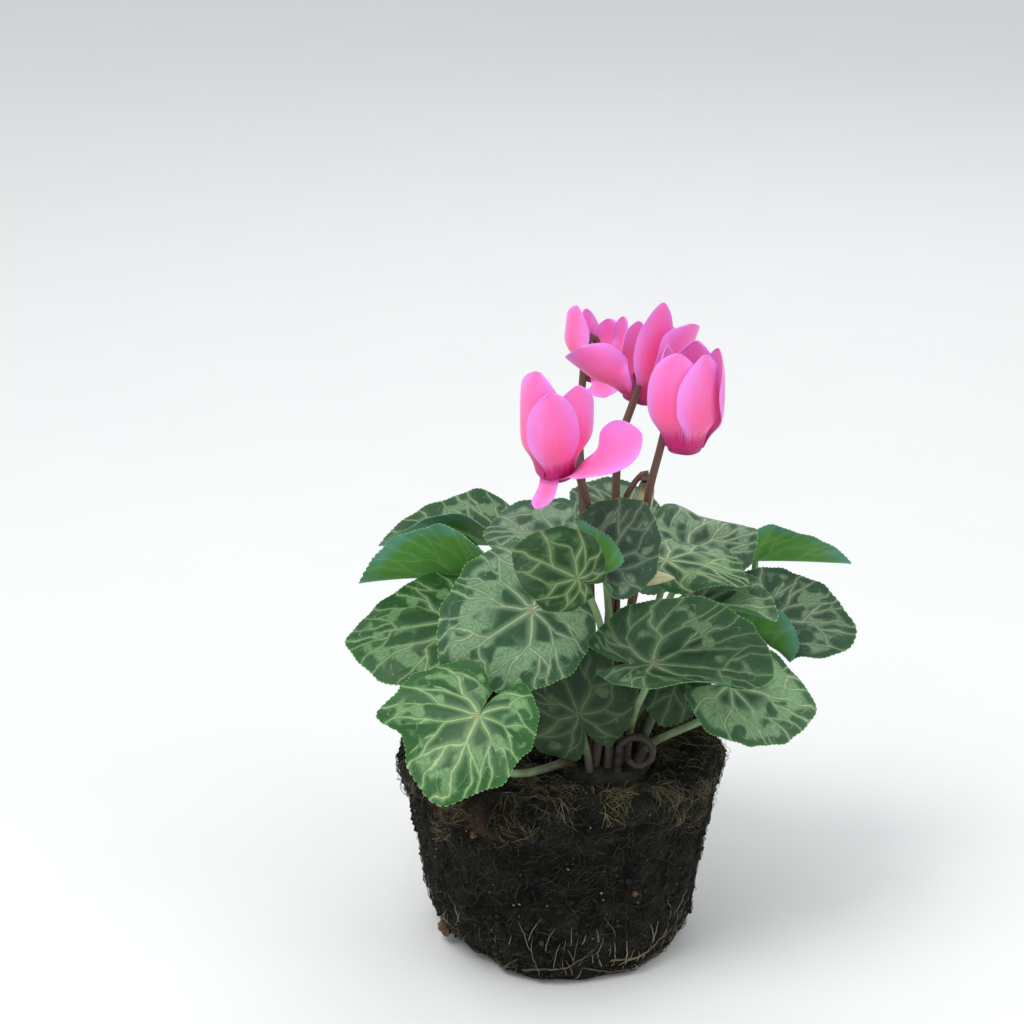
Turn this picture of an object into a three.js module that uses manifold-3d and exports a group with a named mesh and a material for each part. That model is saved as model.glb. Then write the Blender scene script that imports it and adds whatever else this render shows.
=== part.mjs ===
// A cyclamen in flower, standing on its bare root ball as it comes out of the pot.
// Millimetres, +Z up. The origin is the centre of the root ball's flat underside.
// The plant is first seen from -Y, with +X to the right.
import * as THREE from "three";
import { mergeVertices } from "three/addons/utils/BufferGeometryUtils.js";
import Module from "manifold-3d";

// Root ball: the plug of peat and roots that a 12 cm pot leaves.
const BALL_TOP_RADIUS = 57;
const BALL_BASE_RADIUS = 46.5;
const BALL_HEIGHT = 75;
const BALL_REST_RADIUS = 42;
const BALL_RELIEF = 1.5;
const BALL_SIDES = 36;
// The lower edge is broken away round an azimuth.
const CRUMBLED_EDGE = { azimuth: 215, spread: 32, depth: 8, height: 16 };

// Tuber, sunk in the peat, with its crown of stalks just above it.
const CROWN = [15, -22];
const TUBER_RADIUS = 17;
const CROWN_RADIUS = 14.6;
const TUBER_TOP = 78;
const TUBER_DEPTH = 17;
const GAP = 0.3;

// Leaves. The margin has a tooth for every second point, and a narrow notch is open at the petiole.
const BLADE_THICKNESS = 0.8;
const SINUS_HALF_ANGLE = 4;
const SPOKES = 12;
const RING_SHARES = [0.36, 0.7];
const TOOTH_DEPTH = 0.035;
const FOLD_ROUND = 5;
const PETIOLE_RADIUS = [1.6, 1.1];
const PETIOLE_UPRIGHT = 0.6;
const PETIOLE_STEPS = 8;
const PETIOLE_SIDES = 5;

// Flowers. A petal has a narrow claw at the throat and is hollow across. Profiles are [radius, height]
// above the flower's mouth, and the hook is [distance from the flower's axis, height].
const PETAL_THICKNESS = 0.7;
const PETAL_CLAW = 7;
const PETAL_HOLLOW = 13;
const PETAL_ROWS = 6;
const PETAL_COLUMNS = 4;
const CLAW_HALF_WIDTH = 2.4;
const TIP_HALF_WIDTH = 0.6;
const THROAT_RADIUS = 5.8;
const THROAT_HEIGHT = 6.5;
const THROAT_PROFILE = [
  [0, 4.3], [1.8, 4.2], [3.6, 3.2], [3.9, 1], [4.3, -0.3], [5.5, 0],
  [THROAT_RADIUS, 2], [5.2, 4.5], [3, THROAT_HEIGHT - 0.3], [0, THROAT_HEIGHT],
];
const CALYX_PROFILE = [[0, 6.8], [2.4, 6.9], [4, 7.6], [3.4, 9], [1.9, 10.6], [0, 11.4]];
const STALK_RADIUS = [1.75, 1.3];
const STALK_STEPS = 22;
const STALK_SIDES = 6;
const STALK_UPRIGHT = 20;
const STALK_BELOW_FLOWER = [11, -14];
const STALK_HOOK = [[8.4, 0], [7, 8], [5.6, 13.5], [3, 16], [0.6, 13.6], [0, 10]];

const wasm = await Module();
wasm.setup();

const MATERIALS = {
  peat: paint(0x1f1b17, 1),
  tuber: paint(0x4a3526, 0.9),
  leaf: paint(0x3d6b42, 0.55),
  petiole: paint(0x9a9a78, 0.5),
  petal: paint(0xff6eb4, 0.6),
  stalk: paint(0x5f3f37, 0.5),
  bud: paint(0xb9b78a, 0.6),
};

// at is where the petiole meets the blade. face is where the blade's upper side looks, as azimuth and
// elevation. spin turns the tip from straight downhill, seen from above the blade, and length runs from
// the petiole to the tip. width and lobe stretch the blade's two halves sideways and at the back. cup lifts
// the margin, wave ripples it, fold turns both halves up along the midrib, and each bend rolls what lies
// past a line. foot is the azimuth and the distance at which the petiole stands on the crown, and sway
// bends the petiole clear of others.
const LEAVES = [
  {
    at: [-28.5, -62, 111.5], face: [-105, 50], spin: -14, length: 30, width: [0.93, 1.45], lobe: [1.1, 1.15],
    cup: -3, wave: 1.5, fold: 0, foot: [212, 12.6], sway: [0, -6, -22],
  },
  {
    at: [-11, -36, 139.5], face: [-95, 20], spin: -55, length: 36, width: [1, 1], lobe: [1, 1],
    cup: -2, wave: 1.5, fold: 0, foot: [190, 8.6],
  },
  {
    at: [-37, -17, 127.5], face: [-112, 66], spin: -70, length: 39, width: [1, 1], lobe: [1, 1],
    cup: -3, wave: 1.5, fold: 0, foot: [190, 12.6],
  },
  {
    at: [-33, 13, 132], face: [-95, 112], spin: -86, length: 38, width: [1, 1], lobe: [0.8, 0.8],
    cup: 0, wave: 1, fold: 53, foot: [170, 12.6], sway: [0, 6, 0],
  },
  {
    at: [-23, 48, 131], face: [-90, 98], spin: -98, length: 43, width: [0.9, 0.9], lobe: [0.8, 0.8],
    cup: 0, wave: 1, fold: 40, foot: [132, 12.6],
  },
  {
    at: [4, -60, 161], face: [-85, 28], spin: -118, length: 22.5, width: [0.9, 1], lobe: [0.6, 0.7],
    cup: -1, wave: 1, fold: 0, foot: [245, 8.6], sway: [12, 6, 0],
  },
  {
    at: [13.5, -44, 160.5], face: [-88, 22], spin: 145, length: 24, width: [1, 1], lobe: [1.1, 1.1],
    cup: 0, wave: 1, fold: 0, foot: [278, 8.6], sway: [5, 3, 0],
    bends: [{ along: 150, start: 1.5, turn: 150, round: 2 }],
  },
  {
    at: [-1.5, 14, 148], face: [-100, 60], spin: -90, length: 26, width: [0.9, 0.9], lobe: [0.9, 0.9],
    cup: 1, wave: 1, fold: 0, foot: [130, 8.6],
  },
  {
    at: [24.5, 24, 148], face: [-80, 45], spin: -130, length: 24, width: [0.9, 0.9], lobe: [0.9, 0.9],
    cup: 1, wave: 1, fold: 0, foot: [90, 8.6],
  },
  {
    at: [45.5, 16, 141], face: [-85, 45], spin: 112, length: 27, width: [1, 1], lobe: [1, 1],
    cup: 2, wave: 1, fold: 0, foot: [74, 12.6],
    bends: [{ along: 52, start: 10, turn: -80, round: 6 }],
  },
  {
    at: [36.5, -14, 149], face: [-90, 72], spin: 85, length: 28, width: [0.9, 0.55], lobe: [0.8, 0.8],
    cup: -4, wave: 2, fold: 0, foot: [353, 8.6], sway: [-3, 0, 0],
  },
  {
    at: [47.5, -10, 131.5], face: [-90, 97], spin: 62, length: 29, width: [0.9, 0.5], lobe: [0.6, 0.6],
    cup: 0, wave: 1, fold: 42, foot: [30, 8.6],
  },
  {
    at: [30.5, -52, 126.5], face: [-80, 42], spin: 82, length: 42, width: [0.76, 0.42], lobe: [0.95, 0.8],
    cup: -2, wave: 1, fold: 45, foot: [334, 8.6],
  },
  {
    at: [58.5, -32, 109.5], face: [-65, 48], spin: 66, length: 32, width: [0.93, 0.93], lobe: [0.9, 0.9],
    cup: -2, wave: 1, fold: 0, foot: [338, 12.6], sway: [0, -5, -4],
  },
  {
    at: [5.5, -38, 102], face: [-85, 5], spin: -160, length: 28, width: [1, 1], lobe: [1, 1],
    cup: 0, wave: 1, fold: 0, foot: [245, 12.6],
  },
  {
    at: [74.5, 2, 119.5], face: [-75, 50], spin: 84, length: 30, width: [1.05, 1.1], lobe: [1, 1.15],
    cup: 0, wave: 1, fold: 0, foot: [18, 12.6],
    bends: [{ along: -130, start: 7, turn: 140, round: 2.5 }],
  },
  {
    at: [71.5, 36, 129.5], face: [-90, 118], spin: 80, length: 34, width: [0.8, 0.8], lobe: [0.8, 0.8],
    cup: 0, wave: 1, fold: 40, foot: [38, 12.6], sway: [0, -6, 4],
  },
  {
    at: [40.5, -24, 110], face: [-85, 25], spin: -20, length: 18, width: [1, 1], lobe: [1, 1],
    cup: 0, wave: 1, fold: 0, foot: [358, 12.6],
  },
  {
    at: [30, 46, 128], face: [80, 55], spin: 0, length: 36, width: [1, 1], lobe: [1, 1],
    cup: -3, wave: 1.5, fold: 0, foot: [92, 12.6],
  },
  {
    at: [-1, 66, 118], face: [105, 50], spin: 10, length: 36, width: [1, 1], lobe: [1, 1],
    cup: -3, wave: 1.5, fold: 0, foot: [112, 12.6],
  },
  {
    at: [62, 42, 100], face: [45, 45], spin: 0, length: 30, width: [1, 1], lobe: [1, 1],
    cup: -3, wave: 1.5, fold: 0, foot: [56, 12.6],
  },
  {
    at: [-44, 34, 104], face: [150, 50], spin: 0, length: 34, width: [1, 1], lobe: [1, 1],
    cup: -3, wave: 1.5, fold: 0, foot: [152, 12.6],
  },
];

// mouth is the centre of the flower's downward opening and axis leans the flower up from it, as azimuth
// and tilt from upright. gap is the azimuth at which the stalk passes between two petals. Each petal is
// [azimuth, lift above level, curl, length, width, twist].
const BLOOMS = [
  {
    name: "front", mouth: [-2.5, -38, 188.5], axis: [-170, 4], gap: 27, foot: [210, 4.2],
    petals: [
      [160, 78, 24, 38, 22, 6],
      [-90, 80, 20, 36, 24, 0],
      [82, 80, 20, 36, 20, 0],
      [-24, 36, 14, 34, 20, 30],
      [-112, -74, 8, 16, 6, 0],
    ],
  },
  {
    name: "back", mouth: [14, 32, 200.5], axis: [150, 4], gap: -140, foot: [150, 4.2],
    petals: [
      [-84, 42, 44, 26, 23, 0],
      [-24, -20, -60, 14, 12, 0],
      [40, 76, 20, 26, 16, 0],
      [105, 84, 10, 28, 14, 0],
      [166, 76, 16, 29, 14, 0],
    ],
  },
  {
    name: "right", mouth: [40.5, -26, 194], axis: [0, 3], gap: 194, foot: [330, 4.2],
    petals: [
      [-116, 72, 36, 37, 23, 0],
      [-50, 72, 36, 37, 23, 0],
      [16, 72, 30, 37, 21, 0],
      [80, 72, 30, 37, 21, 0],
      [144, 72, 30, 36, 19, 0],
    ],
  },
  {
    name: "high", mouth: [26, 3, 202], axis: [15, 16], gap: -105, foot: [90, 4.2],
    petals: [
      [-52, 72, 24, 32, 20, 0],
      [14, 72, 24, 34, 20, 0],
      [78, 76, 20, 34, 18, 0],
      [142, 72, 12, 32, 15, 0],
      [200, 72, 10, 28, 14, 0],
    ],
  },
];

// A bud hangs from its hooked stalk. calyx is where the two meet, points is the azimuth and elevation at
// which the bud looks, and rise is where the stalk stands before its hook.
const BUDS = [
  {
    name: "nodding", calyx: [29, -8, 177], points: [-90, -80], length: 15,
    rise: [20, -8, 164], foot: [30, 4.2],
  },
  {
    name: "low", calyx: [22.5, -38, 152.5], points: [10, -5], length: 16,
    rise: [23, -36, 134], foot: [310, 8.6],
  },
];
const BUD_RADIUS = 2.8;
const BUD_HOOK = 4.5;
const BUD_STALK_UPRIGHT = 15;
const SEPALS_PROFILE = [[0, -2], [1.2, -1.6], [2.4, -0.4], [2.6, 0.3], [0, 0.3]];

// An old flower stalk, curled on the crown. Each turn is tighter and stands a little further out.
const OLD_STALK = { foot: [290, 12.6], curl: 7, radius: 1.5, tighten: 0.06, forward: 0.45 };

function paint(color, roughness) {
  return new THREE.MeshStandardMaterial({ color, roughness, metalness: 0 });
}

function radians(degrees) {
  return THREE.MathUtils.degToRad(degrees);
}

// The unit vector at an azimuth and an elevation, in degrees.
function direction(azimuth, elevation) {
  const a = radians(azimuth);
  const e = radians(elevation);
  return new THREE.Vector3(Math.cos(e) * Math.cos(a), Math.cos(e) * Math.sin(a), Math.sin(e));
}

function smooth(share) {
  const s = THREE.MathUtils.clamp(share, 0, 1);
  return s * s * (3 - 2 * s);
}

function closedGeometry(points, faces) {
  const geometry = new THREE.BufferGeometry().setFromPoints(points);
  return geometry.setIndex(faces.flat());
}

// Boolean joins and cuts work on solids, and the scene on geometries.
function toSolid(geometry) {
  const bare = geometry.clone();
  bare.deleteAttribute("normal");
  bare.deleteAttribute("uv");
  const merged = mergeVertices(bare, 1e-4);
  const mesh = new wasm.Mesh({
    numProp: 3,
    vertProperties: merged.attributes.position.array,
    triVerts: new Uint32Array(merged.index.array),
  });
  return new wasm.Manifold(mesh);
}

function fromSolid(solid) {
  const mesh = solid.getMesh();
  const geometry = new THREE.BufferGeometry();
  geometry.setAttribute("position", new THREE.BufferAttribute(new Float32Array(mesh.vertProperties), 3));
  return geometry.setIndex(Array.from(mesh.triVerts));
}

// A join's main body alone: hollows that it seals are filled, and loose scraps are dropped.
function largestBody(solid) {
  const bodies = solid.decompose();
  return bodies.reduce((best, body) => (body.volume() > best.volume() ? body : best));
}

// A round rod of changing radius along a curve, closed at both ends.
function rod(curve, steps, sides, radiusAt) {
  const frames = curve.computeFrenetFrames(steps, false);
  const points = [];
  const faces = [];
  for (let i = 0; i <= steps; i++) {
    const centre = curve.getPointAt(i / steps);
    for (let k = 0; k < sides; k++) {
      const turn = (2 * Math.PI * k) / sides;
      const radius = radiusAt(i / steps);
      const point = centre.clone();
      point.addScaledVector(frames.normals[i], radius * Math.cos(turn));
      point.addScaledVector(frames.binormals[i], radius * Math.sin(turn));
      points.push(point);
    }
  }
  for (let i = 0; i < steps; i++) {
    for (let k = 0; k < sides; k++) {
      const a = i * sides + k;
      const b = i * sides + ((k + 1) % sides);
      faces.push([a, b, b + sides], [a, b + sides, a + sides]);
    }
  }
  const last = steps * sides;
  for (let k = 1; k < sides - 1; k++) {
    faces.push([0, k + 1, k], [last, last + k, last + k + 1]);
  }
  return closedGeometry(points, faces);
}

// A thin sheet of even thickness, over a grid of cells that is the same on both faces.
// surface(point) gives the middle of the sheet, and rim is the loop of grid points round its edge.
function sheet(grid, surface, cells, rim, thickness) {
  const step = 0.2;
  const upper = [];
  const lower = [];
  for (const [a, b] of grid) {
    const along = surface(a + step, b).sub(surface(a - step, b));
    const across = surface(a, b + step).sub(surface(a, b - step));
    const normal = along.cross(across).normalize();
    upper.push(surface(a, b).addScaledVector(normal, thickness / 2));
    lower.push(surface(a, b).addScaledVector(normal, -thickness / 2));
  }
  const under = grid.length;
  const faces = [];
  for (const [a, b, c] of cells) {
    faces.push([a, b, c], [under + a, under + c, under + b]);
  }
  rim.forEach((a, i) => {
    const b = rim[(i + 1) % rim.length];
    faces.push([a, under + a, under + b], [a, under + b, b]);
  });
  return closedGeometry([...upper, ...lower], faces);
}

// The heart-shaped outline of a blade: distance from the petiole at an angle from the midrib.
function outline(leaf, angle) {
  const a = Math.abs(angle);
  const heart = 0.7 + 0.1 * Math.cos(a) + 0.2 * Math.exp(-((a / 0.6) ** 2));
  const lobe = leaf.lobe[angle < 0 ? 1 : 0];
  const back = THREE.MathUtils.lerp(1, lobe, smooth((a - radians(60)) / radians(90)));
  const round = smooth((a - radians(150)) / radians(30));
  return leaf.length * heart * back * (1 - 0.5 * round * round);
}

// Rolls what lies past a line up round a cylinder, as a sheet of paper is rolled.
function bendSheet(point, bend) {
  const a = radians(bend.along);
  const past = point.x * Math.cos(a) + point.y * Math.sin(a) - bend.start;
  if (past <= 0) {
    return point;
  }
  const side = Math.sign(bend.turn);
  const turn = Math.min(past / bend.round, radians(Math.abs(bend.turn)));
  const rest = past - bend.round * turn;
  const height = point.z * side;
  const out = bend.round * Math.sin(turn) + rest * Math.cos(turn) - height * Math.sin(turn);
  const rise = bend.round * (1 - Math.cos(turn)) + rest * Math.sin(turn) + height * Math.cos(turn);
  return new THREE.Vector3(
    point.x + (out - past) * Math.cos(a),
    point.y + (out - past) * Math.sin(a),
    rise * side,
  );
}

// A place on the middle of a blade, before it is turned to where the leaf looks.
function bladePoint(leaf, u, v) {
  const width = leaf.width[v < 0 ? 1 : 0];
  const angle = Math.atan2(v / width, u);
  const share = Math.hypot(u, v / width) / outline(leaf, angle);
  const ripple = leaf.wave * share ** 3 * Math.sin(5 * angle + leaf.at[0]);
  let point = new THREE.Vector3(u, v, leaf.cup * share * share + ripple);
  for (const bend of leaf.bends || []) {
    point = bendSheet(point, bend);
  }
  if (leaf.fold) {
    const turn = leaf.fold * smooth((u + leaf.length / 2) / (0.8 * leaf.length));
    point = bendSheet(point, { along: 90, start: 0.5, turn, round: FOLD_ROUND });
    point = bendSheet(point, { along: -90, start: 0.5, turn, round: FOLD_ROUND });
  }
  return point;
}

// The blade's own axes: along the midrib, across it, and out of its upper side.
function bladeAxes(leaf) {
  const [azimuth, elevation] = leaf.face;
  const normal = direction(azimuth, elevation);
  const downhill = direction(azimuth, elevation - 90);
  const level = normal.clone().cross(downhill);
  const spin = radians(leaf.spin);
  const tip = downhill.multiplyScalar(Math.cos(spin)).addScaledVector(level, Math.sin(spin));
  const side = normal.clone().cross(tip);
  return new THREE.Matrix4().makeBasis(tip, side, normal).setPosition(...leaf.at);
}

function bladeGeometry(leaf) {
  const reach = Math.PI - radians(SINUS_HALF_ANGLE);
  const grid = [[0, 0]];
  const addRing = (count, share, tooth) => {
    const first = grid.length;
    for (let k = 0; k <= count; k++) {
      const angle = -reach + (2 * reach * k) / count;
      const notch = k % 2 ? 1 - tooth : 1;
      const radius = share * notch * outline(leaf, angle);
      const width = leaf.width[angle < 0 ? 1 : 0];
      grid.push([radius * Math.cos(angle), width * radius * Math.sin(angle)]);
    }
    return first;
  };
  const cells = [];
  const firsts = RING_SHARES.map((share) => addRing(SPOKES, share, 0));
  const margin = addRing(2 * SPOKES, 1, TOOTH_DEPTH);
  for (let k = 0; k < SPOKES; k++) {
    cells.push([0, firsts[0] + k, firsts[0] + k + 1]);
    for (let i = 0; i + 1 < firsts.length; i++) {
      const a = firsts[i] + k;
      const b = firsts[i + 1] + k;
      cells.push([a, b, b + 1], [a, b + 1, a + 1]);
    }
    const inner = firsts.at(-1) + k;
    const outer = margin + 2 * k;
    cells.push([inner, outer, outer + 1], [inner, outer + 1, inner + 1], [inner + 1, outer + 1, outer + 2]);
  }
  const rim = [0, ...firsts];
  for (let k = 0; k <= 2 * SPOKES; k++) {
    rim.push(margin + k);
  }
  rim.push(...firsts.map((first) => first + SPOKES).reverse());
  const surface = (u, v) => bladePoint(leaf, u, v);
  return sheet(grid, surface, cells, rim, BLADE_THICKNESS).applyMatrix4(bladeAxes(leaf));
}

// A foot on the crown, at an azimuth and a distance from its middle.
function crownFoot([azimuth, distance]) {
  const foot = direction(azimuth, 0).multiplyScalar(distance);
  return foot.add(new THREE.Vector3(CROWN[0], CROWN[1], TUBER_TOP + GAP));
}

function petioleGeometry(leaf) {
  const axes = bladeAxes(leaf);
  const normal = new THREE.Vector3().setFromMatrixColumn(axes, 2);
  const foot = crownFoot(leaf.foot);
  const into = normal.clone().add(new THREE.Vector3(0, 0, PETIOLE_UPRIGHT)).normalize();
  const edge = PETIOLE_RADIUS[1] * normal.angleTo(into);
  const end = new THREE.Vector3(...leaf.at).addScaledVector(normal, -BLADE_THICKNESS / 2 - GAP - edge);
  const span = foot.distanceTo(end);
  const rise = foot.clone().add(new THREE.Vector3(0, 0, 0.4 * span));
  const arrive = end.clone().addScaledVector(into, -0.35 * span);
  if (leaf.sway) {
    rise.addScaledVector(new THREE.Vector3(...leaf.sway), 0.5);
    arrive.add(new THREE.Vector3(...leaf.sway));
  }
  const lean = new THREE.Vector3(0, 0, 1).angleTo(rise.clone().sub(foot));
  foot.z += PETIOLE_RADIUS[0] * Math.sin(lean);
  const curve = new THREE.CubicBezierCurve3(foot, rise, arrive, end);
  const radiusAt = (share) => THREE.MathUtils.lerp(...PETIOLE_RADIUS, share);
  return rod(curve, PETIOLE_STEPS, PETIOLE_SIDES, radiusAt);
}

// The flower's own axes: upright ones, leant over with its axis.
function bloomAxes(bloom) {
  const [azimuth, tilt] = bloom.axis;
  const lean = new THREE.Quaternion();
  lean.setFromUnitVectors(new THREE.Vector3(0, 0, 1), direction(azimuth, 90 - tilt));
  const place = new THREE.Vector3(...bloom.mouth);
  return new THREE.Matrix4().compose(place, lean, new THREE.Vector3(1, 1, 1));
}

// A place on a petal, along it from 0 to its length and across it from -1 to 1.
function petalPoint(petal, along, across) {
  const [turn, lift, curl, length, width, twist] = petal;
  const steps = 24;
  let out = THROAT_RADIUS - 1.2;
  let up = 1.4;
  let angle = 0;
  for (let i = 0; i < steps; i++) {
    const place = (along * (i + 0.5)) / steps;
    angle = radians(-10 + (lift + 10) * smooth(place / PETAL_CLAW) + curl * (place / length));
    out += (Math.cos(angle) * along) / steps;
    up += (Math.sin(angle) * along) / steps;
  }
  const share = THREE.MathUtils.clamp(along / length, 0, 1);
  const round = Math.sin(Math.PI * share ** 1.2) ** 0.9;
  const half = CLAW_HALF_WIDTH * Math.sqrt(1 - share) + TIP_HALF_WIDTH + (width / 2 - 1) * round;
  const sweep = (across * half) / PETAL_HOLLOW;
  const sideways = PETAL_HOLLOW * Math.sin(sweep);
  const inward = PETAL_HOLLOW * (1 - Math.cos(sweep));
  const roll = radians(twist) * share;
  const normal = new THREE.Vector3(-Math.sin(angle), 0, Math.cos(angle));
  const level = new THREE.Vector3(0, 1, 0);
  const point = new THREE.Vector3(out, 0, up);
  point.addScaledVector(level, sideways * Math.cos(roll) - inward * Math.sin(roll));
  point.addScaledVector(normal, sideways * Math.sin(roll) + inward * Math.cos(roll));
  return point.applyAxisAngle(new THREE.Vector3(0, 0, 1), radians(turn));
}

function petalGeometry(petal) {
  const rows = PETAL_ROWS;
  const columns = PETAL_COLUMNS;
  const length = petal[3];
  const grid = [];
  const cells = [];
  for (let i = 0; i <= rows; i++) {
    for (let k = 0; k <= columns; k++) {
      grid.push([(length * i) / rows, (2 * k) / columns - 1]);
    }
  }
  const wide = columns + 1;
  for (let i = 0; i < rows; i++) {
    for (let k = 0; k < columns; k++) {
      const a = i * wide + k;
      cells.push([a, a + wide, a + wide + 1], [a, a + wide + 1, a + 1]);
    }
  }
  const rim = [];
  for (let i = 0; i <= rows; i++) {
    rim.push(i * wide);
  }
  for (let k = 1; k < columns; k++) {
    rim.push(rows * wide + k);
  }
  for (let i = rows; i >= 0; i--) {
    rim.push(i * wide + columns);
  }
  for (let k = columns - 1; k > 0; k--) {
    rim.push(k);
  }
  return sheet(grid, (a, b) => petalPoint(petal, a, b), cells, rim, PETAL_THICKNESS);
}

function lathe(profile, sides) {
  const points = profile.map(([x, y]) => new THREE.Vector2(x, y));
  return new THREE.LatheGeometry(points, sides).rotateX(Math.PI / 2);
}

// The petals, joined to the short throat that they grow from, which is open below.
function bloomGeometry(bloom) {
  let flower = toSolid(lathe(THROAT_PROFILE, 10));
  for (const petal of bloom.petals) {
    flower = flower.add(toSolid(petalGeometry(petal)));
  }
  return fromSolid(largestBody(flower)).applyMatrix4(bloomAxes(bloom));
}

// The stalk rises from the crown, passes between two petals, hooks over and ends in the calyx.
function bloomStalkGeometry(bloom) {
  const axes = bloomAxes(bloom);
  const gap = direction(bloom.gap, 0);
  const local = ([out, up]) => gap.clone().multiplyScalar(out).setZ(up).applyMatrix4(axes);
  const foot = crownFoot(bloom.foot);
  const upright = foot.clone().add(new THREE.Vector3(0, 0, STALK_UPRIGHT));
  const low = local(STALK_BELOW_FLOWER);
  const path = [foot, upright, upright.clone().lerp(low, 0.33), upright.clone().lerp(low, 0.67), low];
  path.push(...STALK_HOOK.map(local));
  const curve = new THREE.CatmullRomCurve3(path, false, "centripetal");
  const radiusAt = (share) => THREE.MathUtils.lerp(...STALK_RADIUS, share);
  const stalk = rod(curve, STALK_STEPS, STALK_SIDES, radiusAt);
  const calyx = lathe(CALYX_PROFILE, 10).applyMatrix4(axes);
  return fromSolid(toSolid(stalk).add(toSolid(calyx)));
}

// The axes of a bud: its own +Z runs from the calyx to the tip.
function budAxes(bud) {
  const turn = new THREE.Quaternion();
  turn.setFromUnitVectors(new THREE.Vector3(0, 0, 1), direction(...bud.points));
  return new THREE.Matrix4().compose(new THREE.Vector3(...bud.calyx), turn, new THREE.Vector3(1, 1, 1));
}

function budGeometry(bud) {
  const profile = [
    [0, 0.6], [0.7 * BUD_RADIUS, 1], [BUD_RADIUS, 0.3 * bud.length], [0.85 * BUD_RADIUS, 0.55 * bud.length],
    [0.4 * BUD_RADIUS, 0.85 * bud.length], [0, bud.length],
  ];
  return lathe(profile, 10).applyMatrix4(budAxes(bud));
}

function budStalkGeometry(bud) {
  const axes = budAxes(bud);
  const points = direction(...bud.points);
  const foot = crownFoot(bud.foot);
  const rise = new THREE.Vector3(...bud.rise);
  const calyx = new THREE.Vector3(...bud.calyx);
  const hook = rise.clone().lerp(calyx, 0.6).add(new THREE.Vector3(0, 0, BUD_HOOK));
  const upright = foot.clone().add(new THREE.Vector3(0, 0, BUD_STALK_UPRIGHT));
  const path = [foot, upright, upright.clone().lerp(rise, 0.5), rise, hook];
  path.push(calyx.clone().addScaledVector(points, -2.5), calyx.clone().addScaledVector(points, -0.5));
  const curve = new THREE.CatmullRomCurve3(path, false, "centripetal");
  const stalk = rod(curve, 18, STALK_SIDES, (share) => THREE.MathUtils.lerp(STALK_RADIUS[1], 1, share));
  return fromSolid(toSolid(stalk).add(toSolid(lathe(SEPALS_PROFILE, 8).applyMatrix4(axes))));
}

function oldStalkGeometry() {
  const foot = crownFoot(OLD_STALK.foot);
  const { curl, radius, tighten, forward } = OLD_STALK;
  const path = [foot];
  for (let i = 0; i <= 8; i++) {
    const turn = radians(200 - 45 * i);
    const size = curl * (1 - tighten * i);
    const x = foot.x + curl + size * Math.cos(turn);
    const z = foot.z + curl + 2 + size * Math.sin(turn);
    path.push(new THREE.Vector3(x, foot.y - forward * i, z));
  }
  const curve = new THREE.CatmullRomCurve3(path, false, "centripetal");
  return rod(curve, 22, 6, () => radius);
}

function add(group, name, geometry, material) {
  const mesh = new THREE.Mesh(geometry, material);
  mesh.name = name;
  geometry.computeVertexNormals();
  group.add(mesh);
}

// The rough side of the root ball: how far it stands out at an azimuth and a height.
function relief(angle, height) {
  const lumps = Math.sin(3 * angle + height / 19) + Math.sin(7 * angle - height / 11 + 2);
  const grain = Math.sin(13 * angle + height / 5 + 1) + Math.sin(17 * angle - height / 7);
  return BALL_RELIEF * (0.35 * lumps + 0.25 * grain);
}

// How far the broken part of the lower edge stands back.
function crumbled(angle, height) {
  const away = (THREE.MathUtils.radToDeg(angle) - CRUMBLED_EDGE.azimuth) / CRUMBLED_EDGE.spread;
  const low = Math.max(0, 1 - height / CRUMBLED_EDGE.height);
  return CRUMBLED_EDGE.depth * Math.exp(-away * away) * low;
}

function rootBallGeometry() {
  const rows = [
    [BALL_REST_RADIUS, 0], [BALL_BASE_RADIUS - 1, 3], [BALL_BASE_RADIUS + 1, 10],
  ];
  const levels = 6;
  for (let i = 1; i <= levels; i++) {
    const height = THREE.MathUtils.lerp(10, BALL_HEIGHT - 3, i / levels);
    rows.push([THREE.MathUtils.lerp(BALL_BASE_RADIUS, BALL_TOP_RADIUS, height / BALL_HEIGHT), height]);
  }
  rows.push([BALL_TOP_RADIUS - 3.5, BALL_HEIGHT], [BALL_TOP_RADIUS - 20, BALL_HEIGHT]);
  const points = [];
  const faces = [];
  rows.forEach(([radius, height], row) => {
    for (let k = 0; k < BALL_SIDES; k++) {
      const angle = (2 * Math.PI * k) / BALL_SIDES;
      const out = radius + relief(angle, height) - crumbled(angle, height);
      const lift = row === 0 || row === rows.length - 1 ? 0 : 0.5 * relief(2 * angle, 3 * height);
      points.push(new THREE.Vector3(out * Math.cos(angle), out * Math.sin(angle), height + lift));
    }
  });
  for (let row = 0; row + 1 < rows.length; row++) {
    for (let k = 0; k < BALL_SIDES; k++) {
      const a = row * BALL_SIDES + k;
      const b = row * BALL_SIDES + ((k + 1) % BALL_SIDES);
      faces.push([a, b, b + BALL_SIDES], [a, b + BALL_SIDES, a + BALL_SIDES]);
    }
  }
  const bottom = points.push(new THREE.Vector3(0, 0, 0)) - 1;
  const top = points.push(new THREE.Vector3(0, 0, BALL_HEIGHT)) - 1;
  const last = (rows.length - 1) * BALL_SIDES;
  for (let k = 0; k < BALL_SIDES; k++) {
    const next = (k + 1) % BALL_SIDES;
    faces.push([bottom, next, k], [top, last + k, last + next]);
  }
  const hole = [
    [0, TUBER_TOP - TUBER_DEPTH - GAP], [TUBER_RADIUS + GAP, TUBER_TOP - TUBER_DEPTH - GAP],
    [TUBER_RADIUS + GAP, TUBER_TOP + 10], [0, TUBER_TOP + 10],
  ];
  const cutter = lathe(hole, 20).translate(...CROWN, 0);
  return fromSolid(toSolid(closedGeometry(points, faces)).subtract(toSolid(cutter)));
}

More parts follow.
